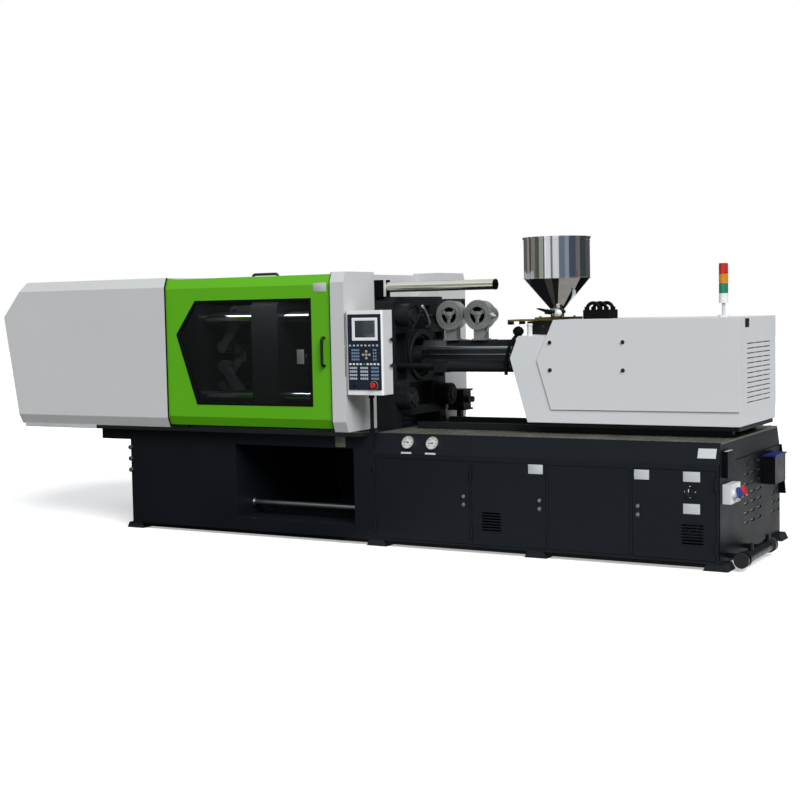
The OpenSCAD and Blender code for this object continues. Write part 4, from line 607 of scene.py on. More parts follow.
def add_bar(bm, start, end, width, thick, facing):
    """Flat bar from point to point, as thick as told along the side it faces."""
    start, end, facing = Vector(start), Vector(end), Vector(facing).normalized()
    across = (end - start).cross(facing).normalized() * width / 2
    low = [start - across, start + across, end + across, end - across]
    verts = [bm.verts.new(p) for p in low] + [bm.verts.new(p + facing * thick) for p in low]
    for face in ((0, 1, 2, 3), (4, 5, 6, 7), (0, 1, 5, 4), (1, 2, 6, 5), (2, 3, 7, 6), (3, 0, 4, 7)):
        bm.faces.new([verts[i] for i in face])


def add_slab(bm, outline, y0, y1):
    """Flat slab: an outline in x and z between two values of y."""
    near, far = [[bm.verts.new((x, y, z)) for x, z in outline] for y in (y0, y1)]
    bm.faces.new(near)
    bm.faces.new(far)
    join_loops(bm, [near, far], closed=False)


def add_edge_trim(bm, x0, x1, section, thick):
    """Trim along a guard's folded edge: the section's points are y and z, and its thickness lies inwards."""
    rows = [[bm.verts.new((x, y + inwards, z)) for y, z in section]
            for x, inwards in ((x0, 0), (x1, 0), (x1, thick), (x0, thick))]
    for a, b in zip(rows, rows[1:] + rows[:1]):
        for i in range(len(section) - 1):
            bm.faces.new((a[i], a[i + 1], b[i + 1], b[i]))
    for i in (0, -1):
        bm.faces.new([row[i] for row in rows])


def grown(outline, by):
    """Convex outline with every side moved outwards."""
    outline = [Vector(p) for p in outline]
    middle = sum(outline, Vector((0.0, 0.0))) / len(outline)
    sides = []
    for a, b in zip(outline, outline[1:] + outline[:1]):
        out = Vector((b.y - a.y, a.x - b.x)).normalized()
        sides.append((a + out * math.copysign(by, by * out.dot(a - middle)), b - a))
    corners = []
    for (p, d), (q, e) in zip(sides[-1:] + sides[:-1], sides):
        corners.append(p + d * ((q - p).cross(e) / d.cross(e)))
    return corners


def add_frame_strip(bm, outline, face, section):
    """Strip round an outline in x and z: the section's points are distances outwards and behind the face."""
    join_loops(bm, [[bm.verts.new((p.x, face + behind, p.y)) for p in grown(outline, out)]
                    for out, behind in section])


def rectangle(x0, x1, z0, z1):
    """Outline of an upright rectangle."""
    return [(x0, z0), (x1, z0), (x1, z1), (x0, z1)]


def new_tree(name, sizes, kinds):
    """Geometry tree with points in, a mesh out, and named inputs for its sizes, other settings and finish."""
    tree = bpy.data.node_groups.new(name, "GeometryNodeTree")
    tree.interface.new_socket("Geometry", in_out="OUTPUT", socket_type="NodeSocketGeometry")
    inputs = {"Geometry": "NodeSocketGeometry", **dict.fromkeys(sizes, "NodeSocketFloat"), **kinds,
              "Finish": "NodeSocketMaterial"}
    for given, kind in inputs.items():
        tree.interface.new_socket(given, in_out="INPUT", socket_type=kind)
    return tree, add(tree, "NodeGroupInput").outputs


def set_on_points(tree, given, shapes, turn=None):
    """Joins the shapes, sets them on every point and gives them their finish."""
    whole = add(tree, "GeometryNodeJoinGeometry")
    for shape in shapes:
        tree.links.new(shape, whole.inputs[0])
    dots = add(tree, "GeometryNodeMeshToPoints", {"Mesh": given["Geometry"]})
    inputs = {"Points": dots.outputs[0], "Instance": whole.outputs[0]}
    if turn:
        inputs["Rotation"] = turn
    spread = add(tree, "GeometryNodeInstanceOnPoints", inputs)
    real = add(tree, "GeometryNodeRealizeInstances", {0: spread.outputs[0]})
    dressed = add(tree, "GeometryNodeSetMaterial", {"Geometry": real.outputs[0], "Material": given["Finish"]})
    add(tree, "NodeGroupOutput", {0: dressed.outputs[0]})


# Crown of a screw head: its top as a share of the head's radius, and its rise as a share of the head's height
CROWN_TOP, CROWN_RISE = 0.82, 0.25


def screw_tree():
    """Hexagon screw on its washer, its head up along z before the turn."""
    tree, given = new_tree("hexagon_screws", ["Head radius", "Head height", "Washer radius", "Washer height"],
                           {"Turn": "NodeSocketVector"})
    head_r, head_h = given["Head radius"], given["Head height"]
    washer_r, washer_h = given["Washer radius"], given["Washer height"]
    crown_r = add(tree, "ShaderNodeMath", {0: head_r, 1: CROWN_TOP}, operation="MULTIPLY").outputs[0]
    crown_h = add(tree, "ShaderNodeMath", {0: head_h, 1: CROWN_RISE}, operation="MULTIPLY").outputs[0]
    both_h = add(tree, "ShaderNodeMath", {0: washer_h, 1: head_h}, operation="ADD").outputs[0]
    shapes = []
    for sides, low_r, top_r, height, lift in ((20, washer_r, washer_r, washer_h, None),
                                              (6, head_r, head_r, head_h, washer_h),
                                              (6, head_r, crown_r, crown_h, both_h)):
        shape = add(tree, "GeometryNodeMeshCone", {
            "Vertices": sides, "Radius Top": top_r, "Radius Bottom": low_r, "Depth": height}).outputs[0]
        if lift:
            move = add(tree, "ShaderNodeCombineXYZ", {"Z": lift}).outputs[0]
            shape = add(tree, "GeometryNodeTransform", {"Geometry": shape, "Translation": move}).outputs[0]
        shapes.append(shape)
    turn = add(tree, "FunctionNodeEulerToRotation", {0: given["Turn"]})
    set_on_points(tree, given, shapes, turn.outputs[0])
    return tree


# Cap of a key and its smaller top: share of the key's size, and lift as a share of its rise
KEY_STEPS = [(1.0, 0.0), (0.84, 0.35)]


def key_tree():
    """Key of a keypad that faces the front: a low cap with a smaller, raised top."""
    tree, given = new_tree("keypad_keys", ["Key width", "Key height", "Key rise"], {})
    shapes = []
    for share, lift in KEY_STEPS:
        scaled = (("Key width", share), ("Key height", share), ("Key rise", -lift))
        width, height, out = [
            add(tree, "ShaderNodeMath", {0: given[size], 1: by}, operation="MULTIPLY").outputs[0]
            for size, by in scaled]
        size = add(tree, "ShaderNodeCombineXYZ", {"X": width, "Y": given["Key rise"], "Z": height})
        cap = add(tree, "GeometryNodeMeshCube", {"Size": size.outputs[0]})
        move = add(tree, "ShaderNodeCombineXYZ", {"Y": out})
        shapes.append(add(tree, "GeometryNodeTransform",
                          {"Geometry": cap.outputs[0], "Translation": move.outputs[0]}).outputs[0])
    set_on_points(tree, given, shapes)
    return tree


def repeat(name, tree, places, sizes, material, body):
    """Makes a tree's shape at every place, as one plain mesh that rides on a body."""
    mesh = bpy.data.meshes.new(name)
    mesh.from_pydata([tuple(p) for p in places], [], [])
    points = bpy.data.objects.new(f"{name}_points", mesh)
    bpy.context.scene.collection.objects.link(points)
    modifier = points.modifiers.new("repeat", "NODES")
    modifier.node_group = tree
    keys = {item.name: item.identifier for item in tree.interface.items_tree if item.in_out == "INPUT"}
    for size, value in {**sizes, "Finish": material}.items():
        modifier[keys[size]] = value
    evaluated = points.evaluated_get(bpy.context.evaluated_depsgraph_get())
    made = bpy.data.meshes.new_from_object(evaluated)
    made.name = name
    bpy.data.objects.remove(points)
    new_piece(name, made, material, body)


# Directions, and the turns from upwards that make a screw head face them
FRONT, RIGHT, UP = (0, -1, 0), (1, 0, 0), (0, 0, 1)
TO_FRONT, TO_RIGHT, UPWARDS = (math.pi / 2, 0.0, 0.0), (0.0, math.pi / 2, 0.0), (0.0, 0.0, 0.0)
SCREWS, KEYS = screw_tree(), key_tree()


def screws(name, places, head, turn, material, body):
    """Hexagon screws of a head radius, with washers in proportion."""
    sizes = {"Head radius": float(head), "Head height": head * 0.65, "Washer radius": head * 1.3,
             "Washer height": head * 0.18, "Turn": turn}
    repeat(name, SCREWS, places, sizes, material, body)


# Sliding door: the rubber that holds its pane, and a bare plate behind the pane
DOOR_FACE = place_of("front_door")[0].y
pane_low, pane_high = place_of("front_window")
PANE_LAP = 25
WINDOW_TIP_Z, WINDOW_SHOULDER = 1547, 178
PANE_PLATE_X, PANE_PLATE_Z = (-592, -529), (1323, 1430)
win_x0, win_x1 = pane_low.x + PANE_LAP, pane_high.x - PANE_LAP
win_z0, win_z1 = pane_low.z + PANE_LAP, pane_high.z - PANE_LAP
WINDOW = [(win_x0 + WINDOW_SHOULDER, win_z1), (win_x1, win_z1), (win_x1, win_z0),
          (win_x0 + WINDOW_SHOULDER, win_z0), (win_x0, WINDOW_TIP_Z)]
with piece("window_gasket", rubber, "front_door") as bm:
    add_frame_strip(bm, WINDOW, DOOR_FACE, [(15, -0.1), (15, -2), (13, -3), (-4, -3), (-8, -1), (-8, 9.5),
                                            (-0.4, 9.5), (-0.4, -0.1)])
with piece("pane_plate", pale_plate, "front_door") as bm:
    add_block(bm, (PANE_PLATE_X[0], pane_high.y - 0.5, PANE_PLATE_Z[0]),
              (PANE_PLATE_X[1], pane_high.y + 2, PANE_PLATE_Z[1]), 0.8)

# Black trim on the edges that the door runs against; it ends above the door's shoes
hood_low, hood_high = place_of("clamp_hood")
column_low, column_high = place_of("column_covers")
FOLD_H, FOLD_D, TRIM_T = 75, 29, 9
SHOE_GAP = 7
HOOD_TRIM_OUT, COLUMN_TRIM_OUT, TRIM_SUNK = 7, 5, 0.5
GUARD_EDGE = [(hood_low.y + FOLD_D * (1 - SHOE_GAP / FOLD_H), hood_low.z + SHOE_GAP),
              (hood_low.y, hood_low.z + FOLD_H), (hood_low.y, hood_high.z - FOLD_H),
              (hood_low.y + FOLD_D, hood_high.z)]
with piece("guard_edge_trim", rubber) as bm:
    add_edge_trim(bm, hood_high.x - TRIM_SUNK, hood_high.x + HOOD_TRIM_OUT, GUARD_EDGE, TRIM_T)
    add_edge_trim(bm, column_low.x - COLUMN_TRIM_OUT, column_low.x + TRIM_SUNK, GUARD_EDGE, TRIM_T)

# Control panel: screen, keypad, collar of the stop button, key switch, latches and hinges
panel_low, panel_high = place_of("control_box")
key_low, key_high = place_of("key_panel")
kx, kz = key_low.x, key_low.z
BEZEL_FACE = key_low.y
KEY_RECESS, KEY_RISE, KEY_OUT = 3, 3.0, 1.4
KEY_FACE = BEZEL_FACE + KEY_RECESS
SCREEN_LEFT, SCREEN_RIGHT, SCREEN_FOOT, SCREEN_HEAD = 59, 42, 371, 46
SCREEN = rectangle(kx + SCREEN_LEFT, key_high.x - SCREEN_RIGHT, kz + SCREEN_FOOT, key_high.z - SCREEN_HEAD)
(screen_x0, screen_z0), (screen_x1, screen_z1) = SCREEN[0], SCREEN[2]
with piece("screen_bezel", panel_grey) as bm:
    add_frame_strip(bm, SCREEN, BEZEL_FACE, [(20, 0), (20, -2), (18, -3.5), (1, -3.5), (-2, -1), (-2, 4.5),
                                             (-0.3, 4.5), (-0.3, 0)])
with piece("screen_glass", display_glass) as bm:
    add_block(bm, (screen_x0 + 1, BEZEL_FACE + 1.5, screen_z0 + 1),
              (screen_x1 - 1, BEZEL_FACE + 4.8, screen_z1 - 1), 0.8)


def key_grid(x0, x1, columns, z1, z0, rows):
    """Centres of a block of keys, counted from the key panel's lower left corner."""
    return [(kx + x0 + (x1 - x0) * i / max(1, columns - 1), KEY_FACE - KEY_OUT,
             kz + z1 + (z0 - z1) * j / max(1, rows - 1)) for j in range(rows) for i in range(columns)]


ARROW_X, ARROW_Z, ARROW_PITCH_X, ARROW_PITCH_Z = 153, 251, 26, 24
arrows = [(kx + ARROW_X + i * ARROW_PITCH_X, KEY_FACE - KEY_OUT, kz + ARROW_Z + j * ARROW_PITCH_Z)
          for i, j in ((0, 1), (0, -1), (-1, 0), (1, 0), (0, 0))]
mid_row = key_grid(19, 250, 9, 184, 184, 1)
# Name, places, width, height and cap of each block of keys
KEYPAD = [("function_keys", key_grid(19, 244, 8, 317, 317, 1), 15, 12, pale_key),
          ("operation_keys", key_grid(37, 88, 4, 284, 217, 4), 12, 14, blue_key),
          ("arrow_keys", arrows, 17, 16, sand_key),
          ("cursor_keys", key_grid(215, 232, 2, 284, 217, 4), 10, 14, blue_key),
          ("mode_keys", mid_row[:4] + mid_row[5:], 17, 13, white_key),
          ("start_key", mid_row[4:5], 18, 13, green_key),
          ("figure_keys", key_grid(18, 67, 4, 156, 80, 4), 12, 15, pale_key),
          ("letter_keys", key_grid(108, 158, 4, 156, 80, 4), 12, 15, pale_key),
          ("motor_keys", key_grid(198, 247, 4, 156, 80, 4), 12, 15, blue_key)]
for name, places, width, height, cap in KEYPAD:
    key_sizes = {"Key width": float(width), "Key height": float(height), "Key rise": KEY_RISE}
    repeat(name, KEYS, places, key_sizes, cap, "frame")

stop_low, stop_high = place_of("estop_button")
stop_at = ((stop_low.x + stop_high.x) / 2, KEY_FACE, (stop_low.z + stop_high.z) / 2)
with piece("stop_collar", yellow_plastic) as bm:
    add_washer(bm, stop_at, FRONT, 29.3, 31.8, 2.2)
SWITCH_X, SWITCH_Z, BOW_HALF, BOW_FROM = kx + 56, kz + 36, 9, KEY_FACE - 9
with piece("key_switch", black_plastic) as bm:
    add_turned(bm, (SWITCH_X, KEY_FACE, SWITCH_Z), FRONT,
               [(0, 0), (0, 15), (3, 15), (5, 13), (5, 10), (9, 9), (10, 7), (10, 0)])
    add_bar(bm, (SWITCH_X, BOW_FROM, SWITCH_Z - BOW_HALF), (SWITCH_X, BOW_FROM, SWITCH_Z + BOW_HALF),
            3, 14, FRONT)
LATCH_RISES, LATCH_IN = (396, 210), 16
LATCH_FROM, LATCH_TO, LATCH_REACH, LATCH_HALF_H = 10, 22, 70, 6
with piece("panel_latches", black_plastic) as bm:
    for z in (panel_low.z + rise for rise in LATCH_RISES):
        add_turned(bm, (panel_high.x, panel_high.y - LATCH_IN, z), RIGHT,
                   [(-1, 0), (-1, 13), (4, 13), (6, 10), (20, 9), (20, 0)], 24)
        add_block(bm, (panel_high.x + LATCH_FROM, panel_high.y - LATCH_REACH, z - LATCH_HALF_H),
                  (panel_high.x + LATCH_TO, panel_high.y - 4, z + LATCH_HALF_H), 3)
HINGE_SPANS = [(panel_low.z + 130, panel_low.z + 345), (panel_low.z + 352, panel_high.z - 20)]
HINGE_OUT, HINGE_FROM, HINGE_TO = 6, 2, 12
with piece("panel_hinges", rubber) as bm:
    for z0, z1 in HINGE_SPANS:
        add_block(bm, (panel_low.x - HINGE_OUT, panel_low.y + HINGE_FROM, z0),
                  (panel_low.x + 0.5, panel_low.y + HINGE_TO, z1), 1.5)

# Bare plates with rivets on the cabinet, the door and the base
base_low, base_high = place_of("clamp_base")
BASE_FACE = base_low.y
PLATE_T, RIVET_IN = 2.0, 7
RIVET = [(-0.5, 0), (-0.5, 3), (0.7, 2.6), (1.4, 1.2), (1.5, 0)]
# Name, body, finish, face, and the plate's span in x and in z
PLATES = [("cabinet_plate_2", "cabinet_door_2", pale_plate, BASE_FACE, 1231, 1339, 577, 641),
          ("cabinet_plate_4a", "cabinet_door_4", pale_plate, BASE_FACE, 1990, 2092, 572, 636),
          ("cabinet_plate_4b", "cabinet_door_4", pale_plate, BASE_FACE, 2321, 2433, 570, 635),
          ("cabinet_plate_4c", "cabinet_door_4", pale_plate, BASE_FACE, 2320, 2431, 362, 428),
          ("door_plate", "front_door", pale_plate, DOOR_FACE, -424, -312, 1850, 1914),
          ("base_plate", "frame", olive_plate, BASE_FACE, -318, -232, 712, 800)]
for name, body, plate, face, x0, x1, z0, z1 in PLATES:
    with piece(name, plate, body) as bm:
        add_block(bm, (x0, face - PLATE_T, z0), (x1, face + 0.5, z1), 0.8)
        for x in (x0 + RIVET_IN, x1 - RIVET_IN):
            for z in (z0 + RIVET_IN, z1 - RIVET_IN):
                add_turned(bm, (x, face - PLATE_T, z), FRONT, RIVET, 10)

# Product opening: the bright sleeve on the brace that keeps hands out
DROP_FROM, DROP_TO = -1231, -165
BRACE_Y, BRACE_Z, BRACE_R = BASE_FACE + 235, 232, 20
SLEEVE_L, SLEEVE_R, COLLAR_R, COLLAR_L = DROP_TO - DROP_FROM - 2, BRACE_R + 2, BRACE_R + 13, 12
COLLAR_CUT = 3
half_sleeve = [(0, 0), (0, COLLAR_R), (COLLAR_L - COLLAR_CUT, COLLAR_R), (COLLAR_L, COLLAR_R - COLLAR_CUT),
               (COLLAR_L, SLEEVE_R)]
with piece("brace_sleeve", steel) as bm:
    add_turned(bm, (DROP_FROM + 1, BRACE_Y, BRACE_Z), RIGHT,
               half_sleeve + [(SLEEVE_L - along, radius) for along, radius in reversed(half_sleeve)], 28)

# Cabinet locks: a long dark plate with two iron cylinders
LOCK_Z, LOCK_HALF_W, LOCK_T = 373.5, 17, 5
LOCK_LOW, LOCK_HIGH = LOCK_Z - 56, LOCK_Z + 46
CYLINDER_ZS = (LOCK_Z + 24, LOCK_Z - 32)
LOCK_FROM_RIGHT, LOCK_FROM_LEFT = 44, 38
LOCKS = [("lock_1", "cabinet_door_1", place_of("cabinet_door_1")[1].x - LOCK_FROM_RIGHT),
         ("lock_2", "cabinet_door_2", place_of("cabinet_door_2")[1].x - LOCK_FROM_RIGHT),
         ("lock_4", "cabinet_door_4", place_of("cabinet_door_4")[0].x + LOCK_FROM_LEFT)]
for name, body, x in LOCKS:
    with piece(f"{name}_plate", black_plastic, body) as bm:
        add_block(bm, (x - LOCK_HALF_W, BASE_FACE - LOCK_T, LOCK_LOW),
                  (x + LOCK_HALF_W, BASE_FACE + 0.5, LOCK_HIGH), 3)
    with piece(f"{name}_cylinders", link_iron, body) as bm:
        for z in CYLINDER_ZS:
            add_turned(bm, (x, BASE_FACE - 4, z), FRONT,
                       [(0, 0), (0, 13), (5, 13), (7, 11), (7, 4), (5, 4), (5, 0)], 24)

# Main switch: a white pointer on the knob and marks on its plate
switch_low, switch_high = place_of("main_switch")
knob_x, knob_z = (switch_low.x + switch_high.x) / 2, (switch_low.z + switch_high.z) / 2
SWITCH_PLATE_T, MARK_CIRCLE_R = 3.0, 35
with piece("switch_pointer", white_key, "main_switch") as bm:
    add_bar(bm, (knob_x, switch_low.y + 0.5, knob_z + 2), (knob_x, switch_low.y + 0.5, knob_z + 22),
            5, 1.5, FRONT)
with piece("switch_plate", black_plastic, "cabinet_door_4") as bm:
    add_washer(bm, (knob_x, BASE_FACE, knob_z), FRONT, 20, 41, SWITCH_PLATE_T)
with piece("switch_marks", white_key, "cabinet_door_4") as bm:
    for turn in (math.radians(degrees) for degrees in (0, 90, 180, 270)):
        centre = Vector((knob_x, BASE_FACE - SWITCH_PLATE_T, knob_z))
        add_turned(bm, centre + MARK_CIRCLE_R * Vector((math.sin(turn), 0, math.cos(turn))), FRONT,
                   [(-0.5, 0), (-0.5, 4), (0.8, 3.5), (1, 0)], 12)

# Pressure gauges on the leaning fascia, the plates under them and the plate at its right end
fascia_low, fascia_high = place_of("fascia_covers")
gauge_low, gauge_high = place_of("pressure_gauges")
DIAL_R, DIAL_RECESS, DIAL_RISE = 48, 22, 73
DIAL_SWEEP, DIAL_STEP, LONG_STEP = 135, 15, 45
FASCIA_PLATE_T, GAUGE_PLATE_HALF, GAUGE_PLATE_RISE = 1.5, 42, 7
END_PLATE_X, END_PLATE_RISE = (2410, 2530), 72
FASCIA_BACK = 61
FASCIA_LEAN = math.atan2(FASCIA_BACK, fascia_high.z - fascia_low.z)
OUTWARDS = Vector((0, -math.cos(FASCIA_LEAN), math.sin(FASCIA_LEAN)))
ALONG_UP = Vector((0, math.sin(FASCIA_LEAN), math.cos(FASCIA_LEAN)))


def on_fascia(x, rise, out=0.0):
    """Point on the leaning fascia at a rise above its foot, moved out of its face."""
    return Vector((x, fascia_low.y + rise * math.tan(FASCIA_LEAN), fascia_low.z + rise)) + OUTWARDS * out


def dial_ray(degrees):
    """Direction on a dial, clockwise from the top."""
    turn = math.radians(degrees)
    return Vector((math.sin(turn), 0, 0)) + ALONG_UP * math.cos(turn)


with piece("gauge_marks", black_plastic) as marks, piece("gauge_cards", white_card) as cards:
    for x, reading in ((gauge_low.x + DIAL_R, -75), (gauge_high.x - DIAL_R, -100)):
        face = on_fascia(x, DIAL_RISE, DIAL_RECESS)
        add_turned(cards, face, OUTWARDS, [(-0.5, 0), (-0.5, 41.5), (0.8, 41.5), (1.0, 40), (1.0, 0)], 40)
        for degrees in range(-DIAL_SWEEP, DIAL_SWEEP + 1, DIAL_STEP):
            inner, width = (26, 4) if degrees % LONG_STEP == 0 else (31, 2)
            ray = dial_ray(degrees)
            add_bar(marks, face + ray * inner + OUTWARDS, face + ray * 37 + OUTWARDS, width, 0.5, OUTWARDS)
        hand = dial_ray(reading)
        add_bar(marks, face - hand * 10 + OUTWARDS * 1.6, face + hand * 30 + OUTWARDS * 1.6, 4, 0.6, OUTWARDS)
        add_turned(marks, face + OUTWARDS, OUTWARDS, [(0, 0), (0, 6), (2.2, 5), (2.6, 0)], 16)
with piece("fascia_plates", pale_plate) as bm:
    for x in (gauge_low.x + DIAL_R - 10, gauge_high.x - DIAL_R - 12):
        add_bar(bm, on_fascia(x - GAUGE_PLATE_HALF, GAUGE_PLATE_RISE),
                on_fascia(x + GAUGE_PLATE_HALF, GAUGE_PLATE_RISE), 13, FASCIA_PLATE_T, OUTWARDS)
    start, end = [on_fascia(x, END_PLATE_RISE) for x in END_PLATE_X]
    add_bar(bm, start, end, 66, FASCIA_PLATE_T, OUTWARDS)

# Injection cover: its four screws and a small plate on its end
cover_low, cover_high = place_of("injection_cover")
COVER_SCREWS_X, COVER_SCREWS_Z = (1271, 1806), (1459, 1268)
COVER_PLATE_Y, COVER_PLATE_Z = (-300, -214), (1548, 1606)
screws("cover_screws", [(x, cover_low.y, z) for x in COVER_SCREWS_X for z in COVER_SCREWS_Z], 11, TO_FRONT,
       black_plastic, "carriage")
with piece("cover_end_plate", black_plastic, "carriage") as bm:
    add_block(bm, (cover_high.x - 0.5, COVER_PLATE_Y[0], COVER_PLATE_Z[0]),
              (cover_high.x + 3, COVER_PLATE_Y[1], COVER_PLATE_Z[1]), 1)

# Round the hopper: flange screws, shutter lever, drain cap and the beads rolled into its sheet
hopper_low, hopper_high = place_of("hopper")
HOPPER_X = (hopper_low.x + hopper_high.x) / 2
FLANGE_TOP = hopper_low.z + FLANGE_T
HOPPER_RIM = 7
DRUM_R, OUTLET_R = (hopper_high.x - hopper_low.x) / 2 - HOPPER_RIM, 51
LEVER = [(-157, 60), (-150, 66), (-104, 58), (-52, 52), (-52, 18), (-88, 22), (-92, 36), (-140, 54)]
LEVER_HALF_W = 26
screws("hopper_screws", [(HOPPER_X + dx, dy, FLANGE_TOP) for dx in (-88, 88) for dy in (-105, 105)], 9,
       UPWARDS, zinc, "hopper")
with piece("shutter_lever", black_plastic, "hopper") as bm:
    add_slab(bm, [(HOPPER_X + x, FLANGE_TOP + z) for x, z in LEVER], -LEVER_HALF_W, LEVER_HALF_W)
    add_turned(bm, (HOPPER_X, 0, FLANGE_TOP + 26), UP,
               [(0, 0), (0, 57), (3, 59), (19, 59), (22, 57), (22, 0)], 40)
with piece("drain_cap", socket_white, "hopper") as bm:
    add_turned(bm, (HOPPER_X + 30, -50, FLANGE_TOP + 28), (0.35, -1, 0),
               [(-4, 0), (-4, 20), (14, 25), (24, 25), (30, 20), (34, 9), (35, 0)], 24)
with piece("hopper_beads", stainless, "hopper") as bm:
    for z, r in ((FLANGE_TOP + 58, OUTLET_R), (FLANGE_TOP + 278, DRUM_R), (hopper_high.z - 30, DRUM_R)):
        add_washer(bm, (HOPPER_X, 0, z - 3), UP, r - 1.5, r + 1.2, 6, 64)

# Under the hopper: grease post, cooling pipe of the feed, throat jacket, strips of the barrel's cover
GREASE_POST_AT, FEED_COOLER_AT = (1106, -405, 1477), (922, -200, 1496)
FEED_PIPE = [(922, -200, 1505), (915, -250, 1490), (890, -290, 1420), (870, -300, 1320), (868, -300, 1225)]
JACKET_LEFT, JACKET_RIGHT, JACKET_HALF_W, JACKET_Z = 178, 92, 140, (1508, 1604)
# Foot and height of each strip
STRIPS = [(1417, 11), (1366, 5), (1284, 6)]
sleeve_low, sleeve_high = place_of("barrel_cover")
with piece("grease_post", socket_white, "carriage") as bm:
    add_turned(bm, GREASE_POST_AT, UP, [(0, 0), (0, 24), (8, 24), (8, 19), (96, 18), (100, 21), (112, 21),
                                        (116, 17), (116, 0)], 24)
with piece("feed_cooling_pipe", rubber, "carriage") as bm:
    add_turned(bm, FEED_COOLER_AT, UP, [(0, 0), (0, 24), (10, 24), (14, 30), (30, 40), (48, 40), (66, 26),
                                        (74, 10), (76, 0)], 24)
    add_pipe(bm, FEED_PIPE, 13)
with piece("throat_jacket", black_plastic, "carriage") as bm:
    add_block(bm, (HOPPER_X - JACKET_LEFT, -JACKET_HALF_W, JACKET_Z[0]),
              (HOPPER_X + JACKET_RIGHT, JACKET_HALF_W, JACKET_Z[1]), 4)
    add_turned(bm, (HOPPER_X - 70, -139, 1552), FRONT,
               [(0, 0), (0, 30), (6, 30), (9, 26), (9, 12), (14, 10), (14, 0)], 28)
with piece("barrel_cover_strips", steel, "carriage") as bm:
    for z, height in STRIPS:
        add_block(bm, (sleeve_low.x + 3, sleeve_low.y - 2.5, z),
                  (sleeve_high.x - 3, sleeve_low.y + 0.5, z + height), 1)

# Tie bars: a ring of clamping screws in each nut, and a cap on each bar's end
nut_low, nut_high = place_of("tie_bar_nuts")
tie_end = place_of("tie_bars")[1].x
NUT_R, NUT_SCREWS_R, NUT_SCREWS = 85, 64, 8
ties = [(y, z) for y in (nut_low.y + NUT_R, nut_high.y - NUT_R)
        for z in (nut_low.z + NUT_R, nut_high.z - NUT_R)]
nut_turns = [math.tau * (i + 0.5) / NUT_SCREWS for i in range(NUT_SCREWS)]
screws("tie_nut_screws", [(nut_high.x, y + NUT_SCREWS_R * math.cos(a), z + NUT_SCREWS_R * math.sin(a))
                          for y, z in ties for a in nut_turns], 8, TO_RIGHT, black_plastic, "frame")
with piece("tie_bar_caps", cast_dark) as bm:
    for y, z in ties:
        add_turned(bm, (tie_end, y, z), RIGHT,
                   [(-0.5, 0), (-0.5, 49), (5, 49), (9, 45), (9, 14), (6, 12), (6, 0)], 40)

# Platen: the ring round the nozzle's way, grease pipes to the nuts, and a grey water hose with its coupling
AXIS_Z = (nut_low.z + nut_high.z) / 2
RING_INNER, RING_OUTER, RING_T = 160, 192, 26
GREASE_BLOCK, GREASE_FROM, GREASE_PITCH = ((1, -70, 1690), (40, 30, 1735)), Vector((24, -60, 1692)), 24
WATER_HOSE = [(42, -20, 1718), (46, 12, 1690), (42, 55, 1640), (34, 88, 1598), (6, 98, 1570)]
with piece("platen_ring", cast_dark) as bm:
    add_washer(bm, (0, 0, AXIS_Z), RIGHT, RING_INNER, RING_OUTER, RING_T, 72)
with piece("grease_pipes", black_plastic) as bm:
    add_block(bm, *GREASE_BLOCK, 3)
    for i, (y, z) in enumerate(ties):
        start, side = GREASE_FROM + Vector((0, GREASE_PITCH * i, 0)), math.copysign(1, y)
        path = [start, start + Vector((6, 0, -30))]
        if z < AXIS_Z:
            path += [(22, side * 211, AXIS_Z + 125), (20, side * 208, AXIS_Z - 70),
                     (18, side * 250, AXIS_Z - 235)]
        add_pipe(bm, path + [(16, y * 0.93, z)], 5, 10)
with piece("mould_water_hose", pale_hose) as bm:
    add_pipe(bm, WATER_HOSE, 11)
with piece("hose_coupling", zinc) as bm:
    add_turned(bm, (40, -30, 1728), (0.1, 0.7, -0.7),
               [(-12, 0), (-10, 9), (-4, 14), (6, 15), (14, 13), (22, 13), (22, 0)], 20)

# Safety tube: the pale flange of its bracket
tube_low = place_of("safety_tube")[0]
BRACKET_L, TUBE_FLANGE_D, TUBE_FLANGE_Z = 80, 14, (1806, 1936)
tube_flange_x0, tube_flange_x1 = tube_low.x + BRACKET_L + 1, tube_low.x + BRACKET_L + 17
with piece("tube_flange", pale_plate) as bm:
    add_block(bm, (tube_flange_x0, tube_low.y, TUBE_FLANGE_Z[0]),
              (tube_flange_x1, tube_low.y + TUBE_FLANGE_D, TUBE_FLANGE_Z[1]), 2)

# Rear column: the black cable duct on its right face
DUCT_FROM, DUCT_TO = column_high.x - 0.5, column_high.x + 18
DUCT_END_Y = 800
with piece("column_cable_duct", black_plastic) as bm:
    add_block(bm, (DUCT_FROM, 452, 1766), (DUCT_TO, DUCT_END_Y, 1784), 2)
    add_block(bm, (DUCT_FROM, 768, 1693), (DUCT_TO, DUCT_END_Y, 1772), 2)

